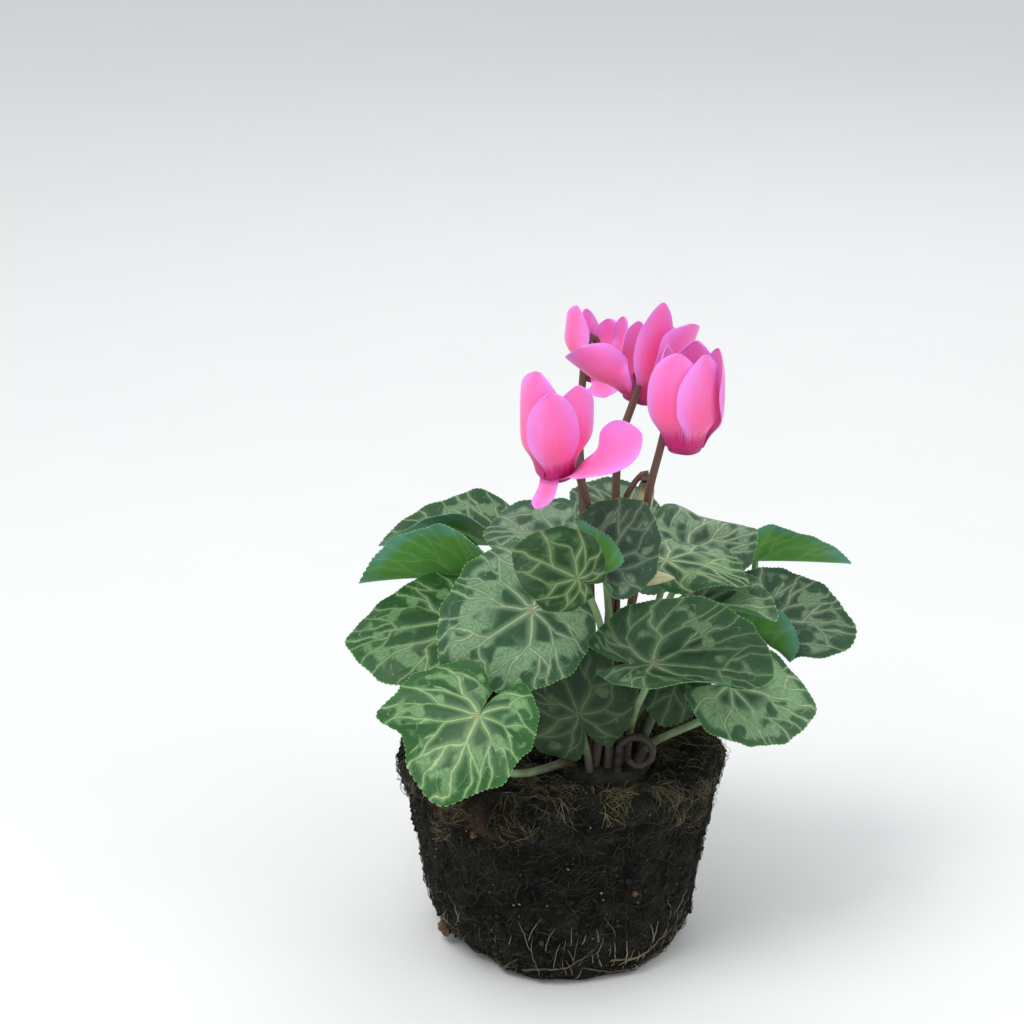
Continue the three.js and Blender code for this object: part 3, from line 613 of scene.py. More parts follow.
class Finish:
    """A procedural material on one Principled shader."""

    def __init__(self, name, constants):
        self.material = bpy.data.materials.new(name)
        self.material.use_nodes = True
        self.tree = self.material.node_tree
        self.tree.nodes.clear()
        shader = self.node("ShaderNodeBsdfPrincipled", {}, constants)
        self.shader = shader.socket.node
        self.node("ShaderNodeOutputMaterial", {}, {"Surface": shader}, output=None)

    def node(self, kind, settings, sockets, output=0):
        """Adds a node, and gives the named output, or a list of them."""
        node = self.tree.nodes.new(kind)
        for key, value in settings.items():
            setattr(node, key, value)
        self.feed(node, sockets)
        if output is None:
            return None
        if isinstance(output, (list, tuple)):
            return [Value(self, node.outputs[name]) for name in output]
        return Value(self, node.outputs[output])

    def feed(self, node, sockets):
        """Links or sets the sockets of a node."""
        for key, value in sockets.items():
            if isinstance(value, Value):
                self.tree.links.new(value.socket, node.inputs[key])
            else:
                node.inputs[key].default_value = value

    def surface(self, **sockets):
        """Sets what the shader shows, from names such as base_color."""
        named = {key.replace("_", " ").title(): value for key, value in sockets.items()}
        self.feed(self.shader, named)
        return self.material

    def at_points(self, name):
        """A vector that the mesh holds at its points."""
        return self.node("ShaderNodeAttribute", {"attribute_name": name}, {}, output="Vector")

    def parts(self, vector):
        """The three parts of a vector."""
        return self.node("ShaderNodeSeparateXYZ", {}, {0: vector}, output=[0, 1, 2])

    def joined(self, x, y, z=0.0):
        """A vector from its parts."""
        return self.node("ShaderNodeCombineXYZ", {}, {0: x, 1: y, 2: z})

    def place(self):
        """Where a point is, in millimetres."""
        at = self.node("ShaderNodeTexCoord", {}, {}, output="Object")
        return self.node("ShaderNodeVectorMath", {"operation": "SCALE"}, {0: at, "Scale": 1 / MM})

    def mix(self, share, first, second, blend="MIX"):
        """One colour at 0 and the other at 1, which go into sockets 6 and 7 of a Mix node."""
        settings = {"data_type": "RGBA", "blend_type": blend}
        ends = [end if isinstance(end, Value) else (*end[:3], 1) for end in (first, second)]
        sockets = {0: share, 6: ends[0], 7: ends[1]}
        return self.node("ShaderNodeMix", settings, sockets, output=2)

    def shaded(self, paint, amount):
        """A colour made lighter or darker."""
        return self.mix(1.0, paint, amount, blend="MULTIPLY")

    def cloud(self, vector, size, detail=2.0, rough=0.5):
        """Soft noise from 0 to 1 with patches of about a size in millimetres."""
        sockets = {"Vector": vector, "Scale": 1 / size, "Detail": detail, "Roughness": rough}
        return self.node("ShaderNodeTexNoise", {}, sockets)

    def cells(self, vector, size, feature="F1", jitter=1.0):
        """Distance to the nearest cell's middle, or to its edge, in cells of a size in millimetres."""
        sockets = {"Vector": vector, "Scale": 1 / size, "Randomness": jitter}
        return self.node("ShaderNodeTexVoronoi", {"feature": feature}, sockets)

    def luck(self, number):
        """A random share that is the same for the same number."""
        return self.node("ShaderNodeTexWhiteNoise", {"noise_dimensions": "1D"}, {"W": number})

    def bump(self, height, millimetres, strength=1.0):
        """The normal of a surface that stands out by so many millimetres at a height of 1."""
        sockets = {"Height": height, "Distance": millimetres * MM, "Strength": strength}
        return self.node("ShaderNodeBump", {}, sockets)


def leaf_finish(paint):
    """Pale forked veins on dark green, silver blots between them, and a plain bright underside."""
    f = Finish("leaf_finish", {"IOR": 1.42, "Specular IOR Level": 0.35})
    lane, share, pitch = f.parts(f.at_points("vein_lane"))
    upper, green, silver = f.parts(f.at_points("leaf_tone"))
    # How much painted shade darkens a leaf that lies in shade, and how strong its veins are.
    deep, veining, _ = f.parts(f.at_points("leaf_depth"))
    flat = f.at_points("leaf_flat")
    number = f.parts(flat)[2]

    # A lane is a whole number on a main vein. Each vein forks once, at its own distance from the petiole.
    lane = lane + (f.cloud(flat, 6, 0.0) - 0.5) * 0.3 * share + (f.cloud(flat, 1.8, 1.0) - 0.5) * 0.05
    vein = round(lane)
    away = lane - vein
    off = abs(away)
    own = f.luck(vein * 3.7 + away.sign() * 1.3 + number)
    fork = 0.28 + 0.3 * own
    reach = ((share - fork) / (0.9 - fork)).most(0).least(1)
    arm = reach * (1.05 - 0.55 * reach)
    twig = 0.16 + 0.16 * f.luck(vein * 5.1 + away.sign() * 2.9 + number)
    first = abs(off - arm)
    roomy = (pitch / share).step(13.0, 17.0)
    second = abs(off - twig) + (1 - (arm - twig).step(-0.01, 0.01) * roomy) * 9
    midrib = off + (1 - vein.is_near(0, 0.4)) * 9
    # Millimetres to the nearest vein, and to the loops that join the veins inside the margin.
    near = first.least(second).least(midrib) * pitch
    loops = abs(share - 0.8 - 0.08 * (lane * 4 * math.pi + own * 2).cosine()) * 26
    loops = loops + f.cloud(flat, 3) * 0.8 - 0.3

    # How strongly veins show: a pale line in a soft glow, the loops, and a net of short spurs.
    core = 0.64 - 0.42 * share
    line = 1 - near.step(core * 0.2, core * 1.1)
    glow = (1 - near.step(0.0, core * 4.4)) * 0.48
    thin = (1 - loops.step(0.05, 0.35)) * share.step(0.55, 0.7) * 0.5
    net = 1 - f.cells(flat, 2.4, "DISTANCE_TO_EDGE").step(0.02, 0.08)
    spurs = net * (1 - near.step(0.6, 2.4)) * share.step(0.12, 0.3) * 0.22
    drawn = line.most(glow).most(thin).most(spurs)

    # Silver blots keep off the veins, in a band between the petiole and the margin.
    blots = f.cloud(flat, 5.5, 0.0) * 0.9 + f.cloud(flat, 1.3, 2.0) * 0.1
    band = share.step(0.28, 0.52) * (1 - share.step(0.82, 0.92))
    frosted = 0.5 + 0.5 * f.cloud(flat, 0.8, 3.0).step(0.3, 0.6)
    blots = (blots + silver * 0.26).step(0.64, 0.76) * near.step(0.3, 1.2) * band * frosted

    # The upper side: ground, blots, margin, veins, the point where they meet, and pale dots.
    ground = f.mix(green, paint.slate_green, paint.fresh_green)
    shadow = f.mix(green, paint.deep_slate, paint.deep_green)
    ground = f.mix(f.cloud(flat, 9) * 0.7 + share.step(0.3, 0.9) * 0.3, shadow, ground)
    ground = f.mix(blots * 0.8, ground, f.mix(green, paint.silver, paint.silver_green))
    ground = f.mix(share.step(0.93, 0.99) * 0.5, ground, paint.fresh_green)
    veined = f.mix(green, paint.grey_vein, paint.green_vein)
    top = f.mix(drawn * veining * (0.6 + 0.5 * f.cloud(flat, 4)), ground, veined)
    top = f.mix((1 - share.step(0.02, 0.09)) * 0.6, top, paint.petiole_point)
    top = f.mix(share.step(0.985, 1.0) * 0.5, top, paint.green_vein)
    dust = 1 - f.cells(flat, 1.5).step(0.06, 0.1)
    # Painted shade: the upper side of a leaf that lies in shade is darkened here.
    top = f.shaded(f.mix(dust * 0.3, top, paint.grey_vein), (1.14 - deep * 0.5) ** 2)

    # The plain underside takes on the colour of the sky in patches.
    tealness = (f.cloud(flat, 11) * 1.6 + share.step(0.65, 1.0) * 0.9 - 1.1).most(0).least(1)
    under = f.mix(tealness, paint.underside, paint.underside_teal)
    under = f.mix((1 - near.step(0.1, 1.4)) * 0.14, under, paint.green_vein)
    # The underside gets the same painted shade.
    under = f.shaded(under, (1.08 - deep * 0.5) ** 2)

    grain = f.cells(flat, 0.55)
    height = grain * 0.25 - line * 0.8 - glow * 0.5
    return f.surface(
        base_color=f.shaded(f.mix(upper, under, top), 0.85 + 0.3 * f.cloud(flat, 2.5)),
        roughness=0.36 + 0.16 * f.cloud(flat, 1.2) + 0.1 * (1 - upper),
        normal=f.bump(height, 0.16, 0.6),
    )


def petal_finish(paint):
    """Pink that fades to lilac at the edges and to magenta at the throat, with fine lengthwise veins."""
    f = Finish("petal_finish", {"IOR": 1.38, "Sheen Weight": 0.25, "Sheen Roughness": 0.4,
                                "Subsurface Weight": 0.25, "Subsurface Radius": (1.0, 0.35, 0.5),
                                "Subsurface Scale": 0.0015})
    along, across, inner = f.parts(f.at_points("petal_place"))
    number = f.parts(f.at_points("petal_kind"))[0]
    streaks = f.cloud(f.joined(across * 9, along * 1.2, number), 0.5, 3.0)
    wide = f.cloud(f.joined(across * 1.4, along * 3, number), 1.0, 1.0)
    edge = abs(across) ** 2 * 0.75 + along * 0.35 + (wide - 0.5) * 0.5
    body = f.mix(edge.step(0.1, 0.95), paint.pink, paint.lilac)
    warm = (1 - abs(along - 0.38).step(0.0, 0.36)) * (1 - abs(across).step(0.1, 0.9))
    body = f.mix(warm * 0.75, body, paint.warm_pink)
    eye = 1 - (along + (streaks - 0.5) * 0.2 + abs(across) * 0.02).step(0.12, 0.31)
    body = f.mix(eye, body, f.mix((1 - along.step(0.0, 0.1)) * 0.5, paint.eye, paint.throat))
    body = f.shaded(body, 0.9 + 0.2 * streaks)
    pale = f.mix(inner * 0.25, body, paint.lilac)
    return f.surface(
        base_color=pale,
        roughness=0.5 + 0.1 * streaks,
        normal=f.bump(streaks, 0.12, 0.5),
    )


def throat_finish(paint):
    """Dark magenta with lighter mottling."""
    f = Finish("throat_finish", {"IOR": 1.38, "Sheen Weight": 0.2})
    at = f.place()
    mottle = f.cloud(at, 1.5, 3.0)
    return f.surface(
        base_color=f.mix(mottle.step(0.3, 0.7), paint.throat, paint.eye),
        roughness=0.45 + 0.1 * mottle,
        normal=f.bump(mottle, 0.1, 0.4),
    )


def stalk_finish(name, low, high, spot, span):
    """A stalk whose colour changes up its length, with fine lengthwise ribs and dots."""
    f = Finish(name, {"IOR": 1.42, "Specular IOR Level": 0.45})
    share, round_it, number = f.parts(f.at_points("stalk_place"))
    at = f.place()
    ribs = f.cloud(f.joined(round_it * 6, share * 3, number), 0.7, 2.0)
    patches = f.cloud(at, 5, 2.0)
    body = f.mix((share + (patches - 0.5) * 0.5).step(*span), low, high)
    dots = 1 - f.cells(at, 0.9).step(0.1, 0.24)
    body = f.mix(dots * patches * 0.5, body, spot)
    return f.surface(
        base_color=f.shaded(body, 0.8 + 0.4 * ribs),
        roughness=0.42 + 0.14 * ribs,
        normal=f.bump(ribs, 0.15, 0.5),
    )


def bud_finish(paint):
    """Furled cream-green petals, darker towards the sepals and flushed at the folds."""
    f = Finish("bud_finish", {"IOR": 1.4})
    share, round_it, _ = f.parts(f.at_points("stalk_place"))
    patches = f.cloud(f.place(), 3, 2.0)
    body = f.mix((share + (patches - 0.5) * 0.3).step(0.05, 0.6), paint.bud_base, paint.bud_tip)
    folds = (1 - abs(round_it).step(0.0, 0.5)) * 0.5
    body = f.mix(folds, body, paint.bud_fold)
    return f.surface(
        base_color=body,
        roughness=0.5 + 0.1 * patches,
        normal=f.bump(patches, 0.1, 0.4),
    )


def cork_finish(paint):
    """Dark cracked cork of the tuber, darkened further as painted shade of the crown."""
    f = Finish("tuber_finish", {"IOR": 1.4})
    at = f.place()
    rough = f.cloud(at, 4, 4.0)
    cork = f.cells(at, 2.2, "DISTANCE_TO_EDGE")
    body = f.mix(rough.step(0.35, 0.65), paint.tuber_dark, paint.tuber_light)
    return f.surface(
        base_color=f.shaded(body, 0.6 + 0.6 * cork.step(0.0, 0.2)),
        roughness=0.8 + 0.1 * rough,
        normal=f.bump(rough + cork, 0.5, 0.8),
    )


def peat_finish(paint):
    """Near-black peat felted with fine roots, with rusty patches, moss on the shoulder and pale grit."""
    f = Finish("peat_finish", {"IOR": 1.35, "Specular IOR Level": 0.3})
    at = f.place()
    round_it, run, mossy = f.parts(f.at_points("skin_place"))
    coarse = f.cloud(at, 9, 3.0)
    fine = f.cloud(at, 1.1, 4.0, 0.65)
    body = f.mix(fine.step(0.35, 0.7), paint.peat_dark, paint.peat_brown)
    rust = f.parts(f.at_points("skin_tone"))[0]
    rusty = (f.cloud(at, 7, 3.0) + rust * 0.6).step(0.62, 0.85)
    body = f.mix(rusty * fine.step(0.3, 0.6) * 0.75, body, paint.rust)
    body = f.mix(mossy * f.cloud(at, 3, 3.0).step(0.4, 0.65) * 0.8, body, paint.moss)
    bent = f.node("ShaderNodeVectorMath", {"operation": "ADD"}, {
        0: f.joined(round_it * 0.8, run * 0.45),
        1: f.node("ShaderNodeVectorMath", {"operation": "SCALE"}, {
            0: f.node("ShaderNodeTexNoise", {}, {"Vector": at, "Scale": 0.35}, output="Color"),
            "Scale": 7.0,
        }),
    })
    felt = 1 - f.cells(bent, 1.3, "DISTANCE_TO_EDGE").step(0.015, 0.07)
    felt_two = 1 - f.cells(bent, 2.6, "DISTANCE_TO_EDGE").step(0.01, 0.035)
    hairs = felt.most(felt_two) * f.cloud(at, 5, 2.0).step(0.35, 0.6)
    body = f.mix(hairs * 0.6, body, paint.root_hair)
    grit = 1 - f.cells(at, 3.1).step(0.07, 0.12)
    body = f.mix(grit * f.cloud(at, 7).step(0.52, 0.62) * 0.7, body, paint.grit)
    lit = 1.5 * coarse.step(0.3, 0.72) * (0.6 + 0.5 * f.cloud(at, 2.4, 2.0))
    return f.surface(
        base_color=f.shaded(body, 0.15 + lit),
        roughness=0.86 + 0.12 * fine,
        normal=f.bump(fine * 1.6 + hairs * 0.5 + coarse, 1.1, 1.0),
    )


def floor_finish(paint):
    """Pale and matt, and hardly uneven."""
    f = Finish("floor_finish", {"Roughness": 0.9})
    speck = f.cloud(f.place(), 60, 2.0)
    return f.surface(base_color=f.shaded(paint.floor, 0.98 + 0.03 * speck))


def strand_finish(name, dark, light):
    """Straw, moss or root, each strand with its own shade."""
    f = Finish(name, {"IOR": 1.4, "Specular IOR Level": 0.3})
    own = f.luck(f.parts(f.at_points("strand_number"))[0])
    grain = f.cloud(f.place(), 0.8, 3.0)
    body = f.mix((own * 0.8 + grain * 0.5 - 0.15).most(0).least(1), dark, light)
    return f.surface(
        base_color=f.shaded(body, 0.7 + 0.5 * grain),
        roughness=0.7 + 0.2 * grain,
        normal=f.bump(grain, 0.1, 0.5),
    )


# Leaves


def half_of(pair, across):
    """The first of a pair on the left half of a leaf and the second on its right half."""
    return np.where(across < 0, pair[1], pair[0])


def fan(share):
    """How much the main veins close up towards the midrib on their way to the margin."""
    return 0.84 + 0.3 * share


def lane_of(leaf, angle, share):
    """Which main vein a place is near, as a number that is whole on the veins."""
    phase = leaf.at[0]
    sway = 0.14 * (np.sin(2.1 * angle + phase) - math.sin(phase))
    return angle / math.radians(VEIN_SPACING) * fan(share) + sway


def outline(leaf, angle):
    """The heart-shaped outline, with soft corners where the veins end: distance from the petiole."""
    a = np.abs(angle)
    heart = 0.7 + 0.1 * np.cos(a) + 0.2 * np.exp(-((a / 0.6) ** 2))
    back = 1 + (half_of(leaf.lobe, angle) - 1) * smooth((a - math.radians(60)) / math.radians(90))
    round_back = smooth((a - math.radians(150)) / math.radians(30))
    turn = 2 * math.pi * lane_of(leaf, angle, 1)
    corners = 1 + 0.018 * np.cos(turn) + 0.009 * np.cos(2 * turn)
    for azimuth, spread, amount in leaf.nudges:
        corners = corners + amount * np.exp(-(((np.degrees(angle) - azimuth) / spread) ** 2))
    return leaf.length * heart * back * corners * (1 - 0.5 * round_back**2)


def bend_sheet(points, along, start, turn, round_by):
    """Rolls what lies past a line up round a cylinder, as a sheet of paper is rolled."""
    a = math.radians(along)
    toward = np.array([math.cos(a), math.sin(a)])
    past = points[:, :2] @ toward - start
    side = np.where(np.asarray(turn) < 0, -1, 1)
    angle = np.minimum(past / round_by, np.radians(np.abs(turn)))
    rest = past - round_by * angle
    height = points[:, 2] * side
    out = round_by * np.sin(angle) + rest * np.cos(angle) - height * np.sin(angle)
    rise = round_by * (1 - np.cos(angle)) + rest * np.sin(angle) + height * np.cos(angle)
    bent = np.column_stack([points[:, :2] + np.outer(out - past, toward), rise * side])
    return np.where((past > 0)[:, None], bent, points)


def vein_lanes(leaf, angle, share):
    """The vein lane of a place, and how wide a lane is there in millimetres."""
    pitch = math.radians(VEIN_SPACING) / fan(share) * share * outline(leaf, angle)
    return lane_of(leaf, angle, share), pitch


def blade_surface(leaf, flat, quilting):
    """The blade's middle, cupped, rippled, quilted between its veins, bent and folded."""
    u = flat[:, 0]
    v = flat[:, 1]
    width = half_of(leaf.width, v)
    angle = np.arctan2(v / width, u)
    share = np.hypot(u, v / width) / outline(leaf, angle)
    lane, pitch = vein_lanes(leaf, angle, share)
    between = np.abs(lane - np.round(lane)) * pitch
    ripple = leaf.wave * share**3 * np.sin(5 * angle + leaf.at[0])
    quilt = quilting * (1 - np.exp(-((between / 1.6) ** 2)))
    quilt = quilt * np.sin(math.pi * np.clip(share, 0, 1)) ** 0.7
    droop = TIP_DROOP * (np.maximum(u, 0) / leaf.length) ** 2
    points = np.column_stack([u, v, leaf.cup * share**2 + ripple + quilt - droop])
    for bend in leaf.bends:
        points = bend_sheet(points, *bend)
    if leaf.fold:
        share = smooth((u + leaf.length / 2) / (0.8 * leaf.length))
        points = bend_sheet(points, 90, FOLD_START, leaf.fold[0] * share, FOLD_ROUND)
        points = bend_sheet(points, -90, FOLD_START, leaf.fold[1] * share, FOLD_ROUND)
    return points


def blade_axes(leaf):
    """Along the midrib, across it, and out of the upper side."""
    azimuth, elevation = leaf.face
    normal = direction(azimuth, elevation)
    downhill = direction(azimuth, elevation - 90)
    level = np.cross(normal, downhill)
    spin = math.radians(leaf.spin)
    tip = downhill * math.cos(spin) + level * math.sin(spin)
    return np.array([tip, np.cross(normal, tip), normal])


def blade_grid(leaf, spacing, depth):
    """Rings of flat places out to the margin, whose last ring has a rounded tooth in each cell."""
    reach = math.pi - math.radians(SINUS_HALF_ANGLE)
    teeth = round(2 * reach * 0.8 * leaf.length / spacing)
    angles = np.linspace(-reach, reach, teeth + 1)
    shares = np.linspace(0, 1, BLADE_RINGS + 1)[1:] ** RING_EASE
    shares *= 1 - 2.2 * depth / leaf.length
    step = angles[1] - angles[0]

    def ring(angles, share):
        return np.column_stack([angles, half_of(leaf.width, angles), np.full(len(angles), share)])

    rings = [ring(angles, share) for share in (*shares, 1 - depth / leaf.length)]
    rings += [ring(angles[:-1] + part * step, 1) for part in TOOTH_FULL]
    polar = np.vstack([np.zeros((1, 3)), *rings])
    radius = polar[:, 2] * outline(leaf, polar[:, 0])
    flat = np.column_stack([radius * np.cos(polar[:, 0]), polar[:, 1] * radius * np.sin(polar[:, 0])])
    wide = teeth + 1
    cells = [(0, 1 + k, 2 + k) for k in range(teeth)] + grid_cells(BLADE_RINGS - 1, teeth, 1)
    notch = 1 + BLADE_RINGS * wide
    rise = notch + wide
    fall = rise + teeth
    rim = [0] + [1 + i * wide for i in range(BLADE_RINGS)]
    for k in range(teeth):
        a = 1 + (BLADE_RINGS - 1) * wide + k
        cells.append((a, notch + k, rise + k, fall + k, notch + k + 1, a + 1))
        rim += [notch + k, rise + k, fall + k]
    rim.append(notch + teeth)
    rim += [1 + i * wide + teeth for i in reversed(range(BLADE_RINGS))]
    return polar, flat, cells, rim


def blade_shape(leaf, number, sizes):
    """A closed thin blade, thinner at its margin, that knows its veins and its tones."""
    polar, flat, cells, rim = blade_grid(leaf, sizes.tooth_spacing / MM, sizes.tooth_depth / MM)

    def surface(places):
        return blade_surface(leaf, places, sizes.quilting / MM)

    ahead = np.array([BLADE_PROBE, 0])
    aside = np.array([0, BLADE_PROBE])
    along = surface(flat + ahead) - surface(flat - ahead)
    across = surface(flat + aside) - surface(flat - aside)
    normals = unit(np.cross(along, across))
    middle = surface(flat)
    angle, _, share = polar.T
    thickness = sizes.blade_thickness / MM * (1 - 0.45 * share**4)
    points, faces = two_sided(middle, normals, thickness, cells, rim)
    points = points @ blade_axes(leaf) + np.array(leaf.at)
    lane, pitch = vein_lanes(leaf, angle, share)
    half = len(flat)
    lanes = np.column_stack([lane, share, pitch])
    places = np.column_stack([flat + PATTERN_SHIFT * number, np.full(half, number)])
    tone = np.tile((1, leaf.green, leaf.silver), (2 * half, 1))
    tone[half:, 0] = 0
    return Shape(
        points,
        faces,
        vein_lane=np.tile(lanes, (2, 1)),
        leaf_flat=np.tile(places, (2, 1)),
        leaf_tone=tone,
        # The painted shade of a leaf that lies in shade, with the strength of its veins.
        leaf_depth=(leaf.deep, leaf.veining, 0),
    )


def crown_foot(foot):
    """Where a stalk stands on the crown, from its azimuth and distance from the middle."""
    azimuth, distance = foot
    return direction(azimuth, 0) * distance + np.array((*CROWN, TUBER_TOP - STALK_SUNK))


def petiole_path(leaf):
    """From the crown up and over into the lower side of the blade."""
    normal = blade_axes(leaf)[2]
    foot = crown_foot(leaf.foot)
    into = unit(normal + UP * PETIOLE_UPRIGHT)
    end = np.array(leaf.at) - normal * PETIOLE_END
    span = np.linalg.norm(foot - end)
    sway = np.array(leaf.sway)
    rise = foot + UP * PETIOLE_KEEPS[0] * span + sway * 0.5
    arrive = end - into * PETIOLE_KEEPS[1] * span + sway
    s = np.linspace(0, 1, 40)[:, None]
    path = foot * (1 - s) ** 3 + rise * 3 * s * (1 - s) ** 2 + arrive * 3 * s**2 * (1 - s) + end * s**3
    return np.vstack([along_even(path, steps=26), np.array(leaf.at)])


def stalk_tube(path, radii, number, sides):
    """A tube whose points know their share of its length and their place round it."""
    points, faces = tube(path, radii, sides)
    share = np.repeat(np.linspace(0, 1, len(path)), sides)
    turn = np.tile(np.arange(sides) / sides, len(path))
    place = np.column_stack([share, abs(turn - 0.5), np.full(len(points), number)])
    return Shape(points, faces, stalk_place=place)


def petiole_shape(leaf, number):
    """A petiole with slight swellings, widest at its foot."""
    path = petiole_path(leaf)
    share = np.linspace(0, 1, len(path))
    radii = part_way(PETIOLE_RADIUS, share) * (1 + 0.05 * np.sin(9 * share + number))
    return stalk_tube(path, radii + 0.25 * np.exp(-share * 25), number, sides=14)


# Flowers, buds and their stalks


def petal_spine(petal, rows):
    """Distance out, height and slope of a petal's middle: round the mouth, up the nose, out and up."""
    lift = petal.lift
    curl = petal.curl
    reach = petal.reach
    flare, flare_at, flare_span = PETAL_FLARE
    flare = flare * min(1, max(0, lift / PETAL_STEEP))
    spine = []
    for along in rows:
        place = along * (np.arange(SPINE_STEPS) + 0.5) / SPINE_STEPS
        slope = part_way((PETAL_START, lift), smooth(place / PETAL_TURN)) + curl * place / reach
        slope = np.radians(slope - flare * np.exp(-(((place - flare_at) / flare_span) ** 2)))
        out = THROAT_RADIUS - PETAL_INSET + np.sum(np.cos(slope)) * along / SPINE_STEPS
        up = PETAL_RISE + np.sum(np.sin(slope)) * along / SPINE_STEPS
        spine.append((out, up, slope[-1]))
    return np.array(spine)


def petal_surface(petal, number, rows, columns, ruffle):
    """A grid of places on a petal, with a soft crease along its middle and ruffled edges."""
    reach = petal.reach
    width = petal.width
    spine = petal_spine(petal, rows)
    share = np.clip(rows / reach, 0, 1)
    narrow = min(CLAW_HALF_WIDTH, 0.4 * width)
    round_it = smooth((rows - PETAL_WIDENS[0]) / min(PETAL_WIDENS[1], 0.45 * reach))
    tip = np.clip((share - PETAL_ROUNDS) / (1 - PETAL_ROUNDS), 0, 1)
    blunt = petal.blunt + abs(math.sin(1.7 * number))
    half = part_way((narrow, width / 2), round_it) * (1 - tip**blunt) ** PETAL_TIP_POWER + TIP_HALF_WIDTH
    sweep = np.outer(half, columns) / PETAL_HOLLOW
    sideways = PETAL_HOLLOW * np.sin(sweep)
    inward = PETAL_HOLLOW * (1 - np.cos(sweep))
    long_waves = np.sin(7 * share + number)[:, None] * np.sign(columns)
    waves = long_waves + np.sin(15 * share + 2 * number)[:, None] * 0.5
    edge = np.outer(round_it, np.abs(columns) ** 3)
    crease = np.outer(smooth(share * 4) * (1 - share), np.exp(-((columns / 0.09) ** 2)))
    inward = inward + ruffle * waves * edge - PETAL_CREASE * crease
    roll = np.radians(PETAL_OVERLAP * smooth(rows / 8) + petal.twist * share)[:, None]
    slope = spine[:, 2:3]
    across = sideways * np.cos(roll) - inward * np.sin(roll)
    outward = sideways * np.sin(roll) + inward * np.cos(roll)
    x = spine[:, 0:1] - np.sin(slope) * outward
    z = spine[:, 1:2] + np.cos(slope) * outward
    lean = np.radians(petal.lean * smooth(rows / 14))[:, None]
    above = z - spine[0, 1]
    across = across * np.cos(lean) + above * np.sin(lean)
    z = spine[0, 1] + above * np.cos(lean) - across * np.sin(lean) * 0.3
    cos = math.cos(math.radians(petal.turn))
    sin = math.sin(math.radians(petal.turn))
    return np.stack([x * cos - across * sin, x * sin + across * cos, z], axis=2)


def add_petal(shape, petal, number, sizes, axes, mouth):
    """A closed petal, thinner at its edges and tip, whose rows are closer at both of its ends."""
    steps = np.linspace(0, 1, PETAL_ROWS + 1)
    rows = petal.reach * 0.998 * (0.35 * steps + 0.325 * (1 - np.cos(math.pi * steps)))
    columns = np.linspace(-1, 1, PETAL_COLUMNS + 1)
    grid = petal_surface(petal, number, rows, columns, sizes.ruffle / MM)
    normals = unit(np.cross(np.gradient(grid, axis=0), np.gradient(grid, axis=1)))
    wide = PETAL_COLUMNS + 1
    cells = grid_cells(PETAL_ROWS, PETAL_COLUMNS)
    rim = [i * wide for i in range(PETAL_ROWS + 1)]
    rim += [PETAL_ROWS * wide + k for k in range(1, PETAL_COLUMNS)]
    rim += [i * wide + PETAL_COLUMNS for i in reversed(range(PETAL_ROWS + 1))]
    rim += list(reversed(range(1, PETAL_COLUMNS)))
    share = np.repeat(rows / petal.reach, wide)
    across = np.tile(columns, PETAL_ROWS + 1)
    thickness = sizes.petal_thickness / MM * (1.3 - 0.8 * np.maximum(np.abs(across) ** 3, share**3))
    points, faces = two_sided(grid.reshape(-1, 3), normals.reshape(-1, 3), thickness, cells, rim)
    inner = np.repeat([1, 0], len(share))
    place = np.column_stack([np.tile(share, 2), np.tile(across, 2), inner])
    shape.add(points @ axes.T + mouth, faces, petal_place=place, petal_kind=(number, 0, 0))


def leaning(azimuth, tilt):
    """Axes whose +Z leans away from upright by a tilt."""
    turn = Vector((0, 0, 1)).rotation_difference(Vector(direction(azimuth, 90 - tilt)))
    return np.array(turn.to_matrix())


def flower_shape(bloom, order, sizes):
    """All petals of a flower, leaned as the flower is."""
    axes = leaning(*bloom.axis)
    mouth = np.array(bloom.mouth)
    shape = Shape()
    for k, petal in enumerate(bloom.petals):
        add_petal(shape, petal, 5 * order + k, sizes, axes, mouth)
    return shape


def throat_shape(bloom):
    """The short tube in which the petals are grown together, with its rounded lip."""
    points, faces = lathe(rounded(THROAT_PROFILE), sides=50, lobes=5, depth=0.035)
    return Shape(points @ leaning(*bloom.axis).T + np.array(bloom.mouth), faces)


def bloom_stalk_shape(bloom, number):
    """The stalk passes between two petals, hooks over and ends in a calyx of five sepals."""
    axes = leaning(*bloom.axis)
    mouth = np.array(bloom.mouth)
    gap = direction(bloom.gap, 0)

    def local(out, up):
        return (gap * out + UP * up) @ axes.T + mouth

    foot = crown_foot(bloom.foot)
    upright = foot + UP * STALK_UPRIGHT
    low = local(*STALK_BELOW_FLOWER)
    path = [foot, upright, part_way((upright, low), 0.33), part_way((upright, low), 0.67), low]
    path += [local(*place) for place in STALK_HOOK]
    path = through(path, steps=90)
    share = np.linspace(0, 1, len(path))
    radii = part_way(STALK_RADIUS, share) * (1 + 0.03 * np.sin(11 * share + number))
    shape = stalk_tube(path, radii + 0.3 * np.exp(-share * 40), number, sides=18)
    points, faces = lathe(rounded(CALYX_PROFILE), sides=40, lobes=5, depth=0.1)
    shape.add(points @ axes.T + mouth, faces, stalk_place=(0.3, 0.2, number))
    return shape


def bud_shape(bud, number):
    """A bud of petals furled round each other in a spiral."""
    profile = [
        (0, 0.6),
        (0.7 * BUD_RADIUS, 1),
        (BUD_RADIUS, 0.3 * bud.length),
        (0.85 * BUD_RADIUS, 0.55 * bud.length),
        (0.4 * BUD_RADIUS, 0.85 * bud.length),
        (0, bud.length),
    ]
    points, faces = lathe(rounded(profile), sides=40, lobes=5, depth=0.05, twist=BUD_SPIRAL)
    turn = np.arctan2(points[:, 1], points[:, 0])
    fold = np.sin((5 * turn + BUD_SPIRAL * points[:, 2]) / 2)
    place = np.column_stack([points[:, 2] / bud.length, fold, np.full(len(points), number)])
    return Shape(points @ facing(bud.points).T + np.array(bud.calyx), faces, stalk_place=place)


